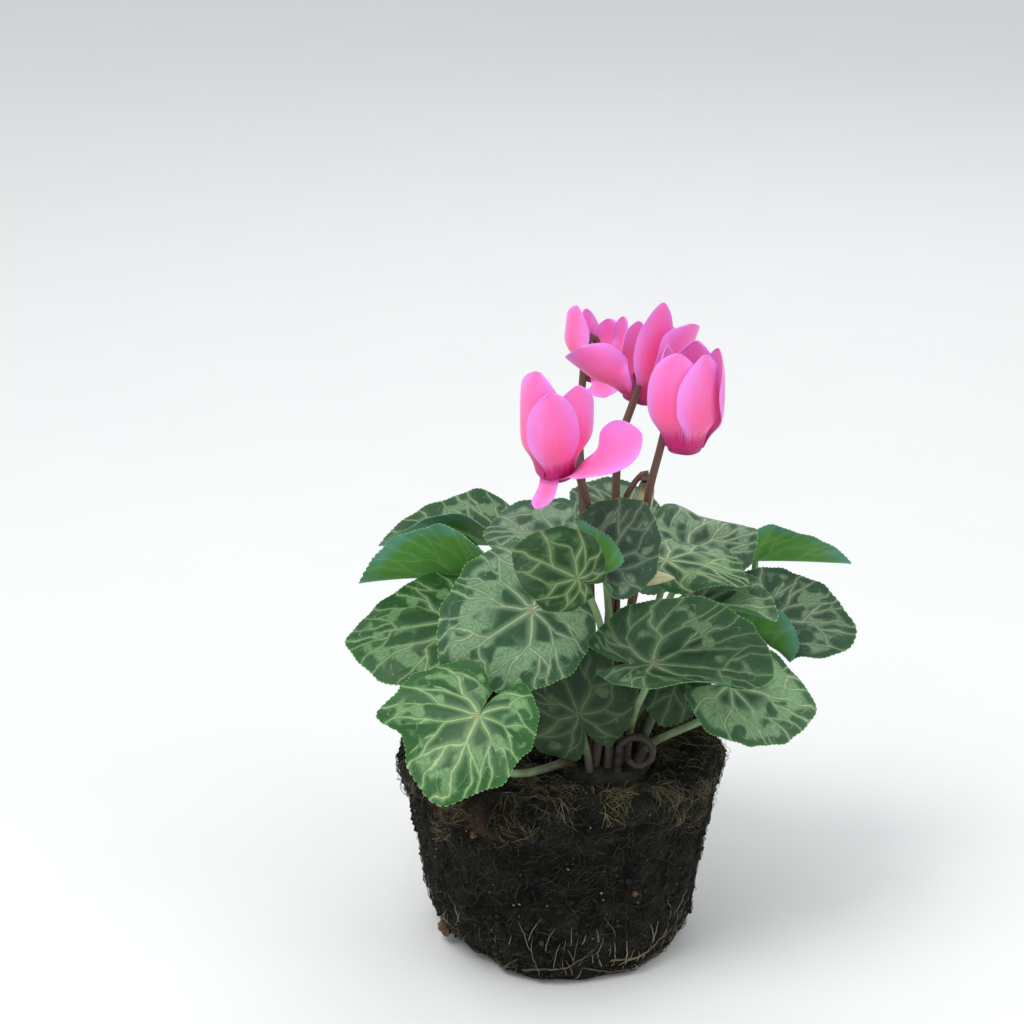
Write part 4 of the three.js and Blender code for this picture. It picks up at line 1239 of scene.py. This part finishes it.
def facing(points):
    """Axes whose +Z looks the way that a bud does, from an azimuth and an elevation."""
    return leaning(points[0], 90 - points[1])


def bud_stalk_shape(bud, number):
    """The stalk of a bud, hooked at its top, with a cup of sepals."""
    points = direction(*bud.points)
    foot = crown_foot(bud.foot)
    rise = np.array(bud.rise, float)
    calyx = np.array(bud.calyx, float)
    hook = part_way((rise, calyx), 0.6) + UP * BUD_HOOK
    upright = foot + UP * BUD_STALK_UPRIGHT
    path = [foot, upright, (upright + rise) / 2, rise, hook, calyx - points * 2.5, calyx - points * 0.5]
    path = through(path, steps=60)
    shape = stalk_tube(path, np.linspace(STALK_RADIUS[1], 1, len(path)), number, sides=14)
    cup, faces = lathe(rounded(SEPALS_PROFILE), sides=30, lobes=5, depth=0.12)
    shape.add(cup @ facing(bud.points).T + calyx, faces, stalk_place=(0.05, 0.2, number))
    return shape


def old_stalk_shape():
    """A stalk whose flower is gone, coiled on the crown."""
    foot = crown_foot(OLD_STALK_FOOT)
    path = [foot]
    start, turned, shrink, forward = OLD_STALK_COIL
    for i in range(OLD_STALK_POINTS):
        turn = math.radians(start - turned * i)
        size = OLD_STALK_CURL * (1 - shrink * i)
        x = foot[0] + OLD_STALK_CURL + size * math.cos(turn)
        z = foot[2] + OLD_STALK_CURL + 2 + size * math.sin(turn)
        path.append((x, foot[1] - forward * i, z))
    path = through(path, steps=70)
    share = np.linspace(0, 1, len(path))
    radii = OLD_STALK_RADIUS * (1 - 0.25 * share) * (1 + 0.06 * np.sin(60 * share))
    return stalk_tube(path, radii, number=7, sides=14)


# Root ball and tuber


def relief(angle, height):
    """How far the side stands out, as in the part's source."""
    lumps = np.sin(3 * angle + height / 19) + np.sin(7 * angle - height / 11 + 2)
    grain = np.sin(13 * angle + height / 5 + 1) + np.sin(17 * angle - height / 7)
    return BALL_RELIEF * (0.35 * lumps + 0.25 * grain)


def crumbled(angle, height):
    """How far the lower edge has crumbled away."""
    azimuth, spread, depth, top = CRUMBLED_EDGE
    away = (np.degrees(angle) % 360 - azimuth) / spread
    return depth * np.exp(-away * away) * np.maximum(0, 1 - height / top)


def meridian(run):
    """Radius and height at a distance along the ball's profile, up the side and over the shoulder."""
    return np.interp(run, MERIDIAN_RUNS, MERIDIAN[:, 0]), np.interp(run, MERIDIAN_RUNS, MERIDIAN[:, 1])


def ledge(angle, run):
    """How far the ball stands out above a step below its rim."""
    level = SHOULDER_RUN - LEDGE_BELOW - 2.5 * math.cos(angle + math.radians(80))
    fades = 1 - float(smooth((run - SHOULDER_RUN + 4) / 5))
    return LEDGE_OUT * float(smooth((run - level) / 2.2)) * fades


def peat_grain(point):
    """Crumbs and hollows of the peat, as a height over the smooth ball."""
    lumps = noise.fractal(point / 8, 0.8, 2.1, 4)
    crumbs = noise.fractal(point / 2.3 + Vector((9, 4, 2)), 0.7, 2.2, 3)
    return 0.75 * lumps + 0.6 * crumbs


def ball_skin(angle, run, stand=0.0):
    """A point on the rough ball, by azimuth and distance along the profile, standing out by an amount."""
    radius, height = meridian(run)
    ahead, above = meridian(run + 0.5)
    behind, below = meridian(run - 0.5)
    slope = math.atan2(above - below, ahead - behind)
    out = math.sin(slope)
    up = -math.cos(slope)
    radius = radius + relief(angle, height) - crumbled(angle, height) + ledge(angle, run)
    base = Vector((radius * math.cos(angle), radius * math.sin(angle), height))
    lift = stand + peat_grain(base) * smooth(run / 6)
    base += Vector((out * math.cos(angle), out * math.sin(angle), up)) * lift
    base.z = max(base.z, 0.0)
    return base


def rust_at(angle, run):
    """How rusty the peat is: a patch below the rim, left of the middle of the front."""
    azimuth, spread, below, tall = RUST_PATCH
    around = (math.degrees(angle) % 360 - azimuth) / spread
    along = (run - SHOULDER_RUN + below) / tall
    return math.exp(-around * around - along * along)


def moss_at(angle, run):
    """How mossy the peat is: most on the front of the shoulder and the top."""
    front = 0.55 + 0.45 * math.cos(angle - math.radians(MOSS_SIDE))
    return front * float(smooth((run - SHOULDER_RUN + MOSS_BELOW) / 16))


def ball_shape():
    """The peat, dense enough for its crumbs, with a pit in its top for the tuber."""
    angles = np.arange(BALL_COLUMNS) * 2 * math.pi / BALL_COLUMNS
    none = np.zeros(BALL_COLUMNS)
    rows = []
    places = []
    tones = []

    def add_row(points, run, mossy=none, rusty=none):
        rows.append(points)
        places.append(np.column_stack([angles * SKIN_ROUND, none + run, mossy]))
        tones.append(np.column_stack([rusty, none, none]))

    for radius in BASE_RINGS:
        add_row([(radius * math.cos(a), radius * math.sin(a), 0) for a in angles], -radius)
    for run in np.arange(0, SHOULDER_RUN + TOP_EDGE, BALL_ROW):
        points = [tuple(ball_skin(a, run)) for a in angles]
        add_row(points, run, [moss_at(a, run) for a in angles], [rust_at(a, run) for a in angles])

    # From the edge of the top the rows close in on the pit, whose wall and floor stay smooth.
    edge = np.array(rows[-1])
    centre = np.array((*CROWN, 0.0))
    arms = edge - centre
    arms[:, 2] = 0
    pit = centre + unit(arms) * PIT_RADIUS
    pit[:, 2] = BALL_TOP
    mossy = [moss_at(a, TOP_RUN) for a in angles]
    for i in range(1, TOP_ROWS + 1):
        row = []
        for x, y, z in edge + (pit - edge) * i / TOP_ROWS:
            lift = peat_grain(Vector((x, y, BALL_TOP))) * (1 - smooth((i - TOP_ROWS + 4) / 4))
            row.append((x, y, BALL_TOP + (z - BALL_TOP) * (1 - i / TOP_ROWS) + lift))
        add_row(row, TOP_RUN + i, mossy)
    for height in (BALL_TOP - 5, PIT_FLOOR):
        wall = pit.copy()
        wall[:, 2] = height
        add_row(wall, TOP_RUN + PIT_SHIFT)

    end = np.zeros((1, 3))
    return Shape(
        np.vstack([end, *rows, [(*CROWN, PIT_FLOOR)]]),
        capped_rings(len(rows), BALL_COLUMNS),
        skin_place=np.vstack([end, *places, end]),
        skin_tone=np.vstack([end, *tones, end]),
    )


def wander(draw, angle, run, heading, reach, arch, bendy):
    """A path that wanders over the ball's skin from a place, lifting off it in the middle."""
    steps = max(5, int(reach / STRAND_STEP))
    path = []
    for i in range(steps + 1):
        radius = max(float(meridian(run)[0]), 20)
        stand = (arch + 0.5) * math.sin(math.pi * i / steps) - 0.2
        spot = ball_skin(angle, max(run, 1.0), stand)
        if run > TOP_RUN or math.dist(spot[:2], CROWN) < PIT_RADIUS + 0.5:
            break
        path.append(tuple(spot))
        heading += draw.normal(0, bendy)
        angle += math.cos(heading) * reach / steps / radius
        run += math.sin(heading) * reach / steps
    return path


def strands_shape(draw, strand, count, spot):
    """Many strands: spot(draw) gives azimuth, distance up the profile and heading of each."""
    shape = Shape()
    for number in range(count):
        angle, run, heading = spot(draw)
        long = draw.uniform(*strand.reach)
        path = wander(draw, angle, run, heading, long, draw.uniform(0, strand.arch), strand.bendy)
        if len(path) < 4:
            continue
        radius = draw.uniform(*strand.thick)
        taper = radius * (1 - 0.75 * np.linspace(0, 1, len(path)) ** 2)
        shape.add(*tube(path, taper, strand.sides), strand_number=(number, 0, 0))
    return shape


def lump(subdivisions):
    """Corners and faces of a round lump of radius 1, to be knocked out of shape."""
    form = bmesh.new()
    bmesh.ops.create_icosphere(form, subdivisions=subdivisions, radius=1)
    corners = np.array([v.co for v in form.verts])
    faces = [[v.index for v in face.verts] for face in form.faces]
    form.free()
    return corners, faces


def chips_shape():
    """Craggy chips of bark, longer than thick, that stick out of the side."""
    corners, faces = lump(subdivisions=3)
    shape = Shape()
    for number, (azimuth, run, size) in enumerate(BARK_CHIPS):
        apart = Vector((number, 0, 0))
        grain = np.array([noise.fractal(Vector(c) * 1.3 + apart, 0.8, 2.1, 4) for c in corners])
        points = corners * (1 + 0.45 * grain)[:, None] * (0.75, 1.1, 0.8) * size
        points = points + np.array(ball_skin(math.radians(azimuth), run, 0.3 * size))
        points[:, 2] = np.maximum(points[:, 2], LEAST_HEIGHT)
        shape.add(points, faces, strand_number=(number + 0.5, 0, 0))
    return shape


def crumbs_shape(draw, count, sizes):
    """Small lumps of the sizes given, least and most, stuck to the ball."""
    corners, faces = lump(subdivisions=1)
    shape = Shape()
    for number in range(count):
        angle = draw.uniform(0, 2 * math.pi)
        run = draw.uniform(3, TOP_RUN - 3)
        size = draw.uniform(*sizes) * draw.uniform(0.6, 1, 3)
        knobs = corners * (1 + draw.normal(0, 0.16, (len(corners), 1)))
        middle = np.array(ball_skin(angle, run, 0.1))
        points = knobs * size + middle
        points[:, 2] = np.maximum(points[:, 2], LEAST_HEIGHT)
        shape.add(points, faces, strand_number=(number, 0, 0))
    return shape


def tuber_shape():
    """The tuber, with shallow hollows in its cork."""
    points, faces = lathe(rounded(TUBER_PROFILE, cuts=8), sides=60)
    made = []
    for x, y, z in points:
        grain = noise.fractal(Vector((x, y, z)) / 4, 0.8, 2.1, 4)
        inward = 1 - 0.03 * abs(grain)
        made.append((CROWN[0] + x * inward, CROWN[1] + y * inward, z - 0.5 * abs(grain) * (z > 70)))
    return Shape(np.array(made), faces)


# Settings


class LeafSettings(bpy.types.PropertyGroup):
    """Sizes and colours of the leaves."""

    blade_thickness: length("Blade thickness", "Thickness of a leaf at the petiole", 0.55)
    tooth_spacing: length("Tooth spacing", "Distance between two teeth of the margin", 1.7)
    tooth_depth: length("Tooth depth", "How far a tooth stands out", 0.5)
    quilting: length("Quilting", "How far the blade puffs up between its main veins", 0.45)
    slate_green: colour("Slate green", "Upper side of a blue-grey leaf", rgb(61, 88, 69))
    deep_slate: colour("Deep slate", "Dark middle of a blue-grey leaf", rgb(38, 62, 48))
    fresh_green: colour("Fresh green", "Upper side of a fresh green leaf", rgb(50, 106, 44))
    deep_green: colour("Deep green", "Dark middle of a fresh green leaf", rgb(24, 66, 25))
    silver: colour("Silver", "Marbling of a blue-grey leaf", rgb(134, 160, 130))
    silver_green: colour("Silver green", "Marbling of a fresh green leaf", rgb(114, 164, 100))
    grey_vein: colour("Grey vein", "Veins of a blue-grey leaf", rgb(176, 196, 160))
    green_vein: colour("Green vein", "Veins of a fresh green leaf", rgb(176, 212, 142))
    petiole_point: colour("Petiole point", "Where the veins meet", rgb(128, 110, 82))
    underside: colour("Underside", "Lower side of a leaf", rgb(86, 148, 62))
    underside_teal: colour("Underside teal", "Sky-lit parts of the lower side", rgb(96, 160, 150))
    # Grey-brown of the petiole's foot, darkened further as painted shade of the crown.
    petiole_low: colour("Petiole foot", "Leaf stalk near the crown", rgb(68, 57, 48))
    petiole_high: colour("Petiole top", "Leaf stalk below the leaf", rgb(128, 156, 112))
    petiole_spot: colour("Petiole dots", "Fine dots on a leaf stalk", rgb(170, 150, 130))


class FlowerSettings(bpy.types.PropertyGroup):
    """Sizes and colours of the flowers and buds."""

    petal_thickness: length("Petal thickness", "Thickness of a petal at its middle", 0.4)
    ruffle: length("Ruffle", "How far a petal's edges wave", 0.5)
    pink: colour("Pink", "Body of a petal", rgb(255, 112, 182))
    warm_pink: colour("Warm pink", "Lower middle of a petal", rgb(255, 96, 150))
    lilac: colour("Lilac", "Edges of a petal", rgb(238, 142, 228))
    eye: colour("Eye", "Base of a petal", rgb(196, 26, 112))
    throat: colour("Throat", "Mouth of the flower", rgb(132, 24, 96))
    stalk_low: colour("Stalk foot", "Flower stalk near the crown", rgb(72, 54, 45))
    stalk_high: colour("Stalk top", "Flower stalk near the flower", rgb(98, 70, 59))
    stalk_spot: colour("Stalk dots", "Fine dots on a flower stalk", rgb(150, 106, 96))
    bud_base: colour("Bud base", "Bud next to its sepals", rgb(70, 62, 44))
    bud_tip: colour("Bud tip", "End of a bud", rgb(206, 204, 158))
    bud_fold: colour("Bud folds", "Furled edges of a bud", rgb(150, 140, 96))
    # Dark brown of the withered stalk, darkened further as painted shade where it lies on the crown.
    withered_and_shaded: colour("Withered", "Old curled stalk", rgb(46, 40, 33))


class RootBallSettings(bpy.types.PropertyGroup):
    """Counts and colours of the root ball."""

    moss_tufts: IntProperty(name="Moss tufts", description="Tufts the moss grows in", default=130, min=1)
    moss_strands: number_of("Moss strands", "Strands in the tufts of moss", 2700)
    loose_straw: number_of("Loose straw", "Single curved strands", 170)
    root_hairs: number_of("Root hairs", "Fine dark roots on the side", 2900)
    fine_roots: number_of("Fine roots", "White roots low on the side", 150)
    coarse_roots: number_of("Coarse roots", "Tan roots at the lower edge", 26)
    crumbs: number_of("Crumbs", "Loose crumbs of peat", 900)
    grains: number_of("Grains", "Pale grains and husks in the peat", 340)
    peat_dark: colour("Dark peat", "Hollows of the peat", rgb(10, 11, 10))
    peat_brown: colour("Brown peat", "Lit crumbs of the peat", rgb(38, 37, 30))
    rust: colour("Rust", "Rusty patches", rgb(86, 62, 45))
    moss: colour("Moss", "Mossy top of the ball", rgb(40, 38, 27))
    grain_dark: colour("Grain shade", "Darkest grains in the peat", rgb(58, 54, 42))
    grain_light: colour("Grain light", "Palest grains in the peat", rgb(150, 140, 110))
    bark_dark: colour("Bark shade", "Darkest bark chips", rgb(58, 44, 30))
    bark_light: colour("Bark light", "Palest bark chips", rgb(112, 90, 62))
    root_hair: colour("Root hair", "Felt of fine roots", rgb(72, 72, 62))
    grit: colour("Grit", "Pale grains", rgb(150, 142, 120))
    straw_dark: colour("Dark straw", "Darkest strands", rgb(34, 33, 27))
    straw_light: colour("Light straw", "Palest strands", rgb(128, 118, 88))
    root_dark: colour("Root shade", "Darkest fine roots", rgb(110, 100, 84))
    root_light: colour("Root white", "Palest fine roots", rgb(176, 168, 150))
    hair_dark: colour("Hair shade", "Darkest root hairs", rgb(22, 21, 19))
    hair_light: colour("Hair light", "Palest root hairs", rgb(72, 70, 60))
    # The cork is dark of itself, and both cork colours are darkened further as painted shade of the crown.
    tuber_dark: colour("Dark cork", "Hollows of the tuber", rgb(20, 18, 15))
    tuber_light: colour("Light cork", "Lit cork of the tuber", rgb(46, 42, 34))


class StageSettings(bpy.types.PropertyGroup):
    """Floor, lights and camera."""

    floor: colour("Floor", "Pale floor", (0.86, 0.86, 0.85))
    sky: FloatProperty(name="Sky", description="Strength of the light from all round", default=0.7, min=0)
    key: power("Key light", "Power of the main light", 11)
    fill: power("Fill lights", "Power of the light on the right and of the one behind", 2.5)
    lens: FloatProperty(name="Lens", description="Focal length in millimetres", default=100, min=1)
    pitch: FloatProperty(
        name="Pitch",
        description="How far the camera looks down",
        default=math.radians(20.5),
        subtype="ANGLE",
    )
    place: FloatVectorProperty(
        name="Camera place",
        description="Where the camera stands",
        default=(-0.0173, -0.9307, 0.5098),
        subtype="TRANSLATION",
    )


# Operators


class CYCLAMEN_OT_leaves(bpy.types.Operator):
    """Makes the leaf blades and their petioles"""

    bl_idname = "cyclamen.leaves"
    bl_label = "Leaves"

    def execute(self, context):
        sizes = context.scene.cyclamen_leaves
        blade = leaf_finish(sizes)
        # A petiole is dark at its foot, partly in its own colour and partly as painted shade of the crown.
        ends = (sizes.petiole_low, sizes.petiole_high)
        petiole = stalk_finish("petiole_finish", *ends, sizes.petiole_spot, (0.0, 0.75))
        for i, leaf in enumerate(LEAVES):
            name = f"{i + 1:02d}"
            shape = blade_shape(leaf, i + 1, sizes)
            shape.piece("blade_" + name, blade, "leaf", ["leaf_" + name], crease=60)
            shape = petiole_shape(leaf, i + 1)
            shape.piece("leaf_stalk_" + name, petiole, "petiole", ["petiole_" + name])
        return {"FINISHED"}


class CYCLAMEN_OT_flowers(bpy.types.Operator):
    """Makes the reflexed petals and the throats"""

    bl_idname = "cyclamen.flowers"
    bl_label = "Flowers"

    def execute(self, context):
        sizes = context.scene.cyclamen_flowers
        petal = petal_finish(sizes)
        throat = throat_finish(sizes)
        for i, bloom in enumerate(BLOOMS):
            node = "petals_" + bloom.name
            flower_shape(bloom, i, sizes).piece("flower_" + bloom.name, petal, "petal", [node])
            throat_shape(bloom).piece("throat_" + bloom.name, throat, "petal")
        return {"FINISHED"}


class CYCLAMEN_OT_stalks(bpy.types.Operator):
    """Makes the flower stalks, the buds and the old curled stalk"""

    bl_idname = "cyclamen.stalks"
    bl_label = "Stalks and buds"

    def execute(self, context):
        paint = context.scene.cyclamen_flowers
        ends = (paint.stalk_low, paint.stalk_high)
        stalk = stalk_finish("stalk_finish", *ends, paint.stalk_spot, (0.1, 0.9))
        # The old stalk is dark brown because it has withered, and darker still as painted shade.
        ends = (paint.withered_and_shaded, paint.withered_and_shaded)
        old = stalk_finish("old_stalk_finish", *ends, paint.stalk_low, (0.2, 1.0))
        bud_skin = bud_finish(paint)
        for i, bloom in enumerate(BLOOMS):
            shape = bloom_stalk_shape(bloom, i)
            shape.piece("flower_stalk_" + bloom.name, stalk, "flower_stalk", ["stalk_" + bloom.name])
        for i, bud in enumerate(BUDS):
            bud_shape(bud, i).piece("furled_" + bud.name, bud_skin, "bud", ["bud_" + bud.name])
            shape = bud_stalk_shape(bud, i + 5)
            shape.piece("bud_stalk_" + bud.name, stalk, "flower_stalk", ["stalk_bud_" + bud.name])
        old_stalk_shape().piece("curled_stalk", old, "flower_stalk", ["old_stalk"])
        return {"FINISHED"}


def anywhere(low, high):
    """Spots on the ball between two distances up its profile, heading any way."""

    def spot(draw):
        return draw.uniform(0, 2 * math.pi), draw.uniform(low, high), draw.uniform(0, 2 * math.pi)

    return spot


def mossy_spot(draw):
    """Azimuth, distance up the profile and heading of a strand, mostly where there is moss."""
    while True:
        angle = draw.uniform(0, 2 * math.pi)
        run = draw.uniform(SHOULDER_RUN - 24, TOP_RUN - 2)
        if draw.uniform(0, 1) < MOSS_LEAST + moss_at(angle, run):
            return angle, run, draw.uniform(0, 2 * math.pi)


def tufted_spot(draw, tufts):
    """Spots gathered in tufts, whose strands lie nearly the same way."""
    centres = [mossy_spot(draw) for _ in range(tufts)]

    def spot(draw):
        angle, run, heading = centres[draw.integers(len(centres))]
        return angle + draw.normal(0, 0.05), run + draw.normal(0, 2.0), heading + draw.normal(0, 0.5)

    return spot


def hanging_spot(draw):
    """Roots low on the side that run up and down it."""
    return draw.uniform(0, 2 * math.pi), draw.uniform(2, 20), draw.normal(math.pi / 2, 0.25)


def level_spot(draw):
    """Roots that run round the ball near its lower edge."""
    return draw.uniform(0, 2 * math.pi), draw.uniform(2, 10), draw.normal(0, 0.12)


class CYCLAMEN_OT_root_ball(bpy.types.Operator):
    """Makes the peat with its roots and moss, and the tuber"""

    bl_idname = "cyclamen.root_ball"
    bl_label = "Root ball"

    def execute(self, context):
        paint = context.scene.cyclamen_root_ball
        draw = np.random.default_rng(SEED)
        ball_shape().piece("peat_ball", peat_finish(paint), "peat", ["root_ball"], crease=180)
        shades = {"crumb": (paint.peat_dark, paint.peat_brown)}
        for kind in ("straw", "root", "hair", "bark", "grain"):
            shades[kind] = (getattr(paint, kind + "_dark"), getattr(paint, kind + "_light"))
        finishes = {kind: strand_finish(kind + "_finish", *ends) for kind, ends in shades.items()}
        spots = {
            "moss_strands": tufted_spot(draw, paint.moss_tufts),
            "loose_straw": mossy_spot,
            "root_hairs": anywhere(4, SHOULDER_RUN),
            "fine_roots": hanging_spot,
            "coarse_roots": level_spot,
        }
        for strand in STRANDS:
            shape = strands_shape(draw, strand, getattr(paint, strand.name), spots[strand.name])
            shape.piece(strand.name, finishes[strand.finish], "peat")
        crumbs_shape(draw, paint.crumbs, CRUMB_SIZES).piece("peat_crumbs", finishes["crumb"], "peat")
        chips_shape().piece("bark_chips", finishes["bark"], "peat")
        crumbs_shape(draw, paint.grains, GRAIN_SIZES).piece("pale_grains", finishes["grain"], "peat")
        tuber_shape().piece("corky_tuber", cork_finish(paint), "tuber", ["tuber"])
        return {"FINISHED"}


def make_floor(sizes):
    """A pale round floor, which is no piece of the plant."""
    form = bmesh.new()
    bmesh.ops.create_circle(form, cap_ends=True, segments=96, radius=FLOOR_RADIUS)
    mesh = bpy.data.meshes.new("floor")
    form.to_mesh(mesh)
    form.free()
    mesh.materials.append(floor_finish(sizes))
    floor = new_object("floor", mesh)
    floor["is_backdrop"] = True


def make_sky(sizes):
    """Soft light from all round."""
    world = bpy.data.worlds.new("soft_sky")
    world.use_nodes = True
    sky = world.node_tree.nodes["Background"]
    sky.inputs["Color"].default_value = SKY_COLOUR
    sky.inputs["Strength"].default_value = sizes.sky
    bpy.context.scene.world = world


def make_light(name, place, size, watts):
    """A disk of light that looks at the middle of the plant."""
    data = bpy.data.lights.new(name, "AREA")
    data.shape = "DISK"
    data.size = size
    data.energy = watts
    light = new_object(name, data)
    light.location = place
    light.rotation_euler = (Vector(LIGHTS_AIM) - Vector(place)).to_track_quat("-Z", "Y").to_euler()


def make_camera(sizes):
    """The camera, which looks down at the plant without turning aside."""
    data = bpy.data.cameras.new("camera")
    data.lens = sizes.lens
    data.sensor_width = SENSOR_WIDTH
    camera = new_object("camera", data)
    camera.location = sizes.place
    camera.rotation_euler = (math.pi / 2 - sizes.pitch, 0, 0)
    bpy.context.scene.camera = camera


class CYCLAMEN_OT_stage(bpy.types.Operator):
    """Makes the pale floor, the soft lights and the camera"""

    bl_idname = "cyclamen.stage"
    bl_label = "Stage"

    def execute(self, context):
        sizes = context.scene.cyclamen_stage
        context.scene.view_settings.view_transform = "Standard"
        make_floor(sizes)
        make_sky(sizes)
        for name, (place, size, setting) in LIGHTS.items():
            make_light(name, place, size, getattr(sizes, setting))
        make_camera(sizes)
        return {"FINISHED"}


class CYCLAMEN_PT_sidebar(bpy.types.Panel):
    """Lists what makes the plant"""

    bl_idname = "CYCLAMEN_PT_sidebar"
    bl_label = "Cyclamen"
    bl_space_type = "VIEW_3D"
    bl_region_type = "UI"
    bl_category = "Cyclamen"

    def draw(self, context):
        for operator in OPERATORS:
            self.layout.operator(operator.bl_idname)


OPERATORS = (
    CYCLAMEN_OT_stage,
    CYCLAMEN_OT_root_ball,
    CYCLAMEN_OT_leaves,
    CYCLAMEN_OT_stalks,
    CYCLAMEN_OT_flowers,
)
SETTINGS = {
    "cyclamen_leaves": LeafSettings,
    "cyclamen_flowers": FlowerSettings,
    "cyclamen_root_ball": RootBallSettings,
    "cyclamen_stage": StageSettings,
}
CLASSES = (*SETTINGS.values(), *OPERATORS, CYCLAMEN_PT_sidebar)


def register():
    """Adds the settings, the operators and the panel."""
    for made in CLASSES:
        bpy.utils.register_class(made)
    for name, group in SETTINGS.items():
        setattr(bpy.types.Scene, name, PointerProperty(type=group))


def unregister():
    """Takes them away again."""
    for name in SETTINGS:
        delattr(bpy.types.Scene, name)
    for made in reversed(CLASSES):
        bpy.utils.unregister_class(made)


def main():
    """Makes the plant on its stage."""
    register()
    bpy.ops.cyclamen.stage()
    bpy.ops.cyclamen.root_ball()
    bpy.ops.cyclamen.leaves()
    bpy.ops.cyclamen.stalks()
    bpy.ops.cyclamen.flowers()
    boxes = {"cad": CAD_BOX, "visual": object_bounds()}
    {name: [list(corner) for corner in box] for name, box in boxes.items()}


if __name__ == "__main__":
    main()
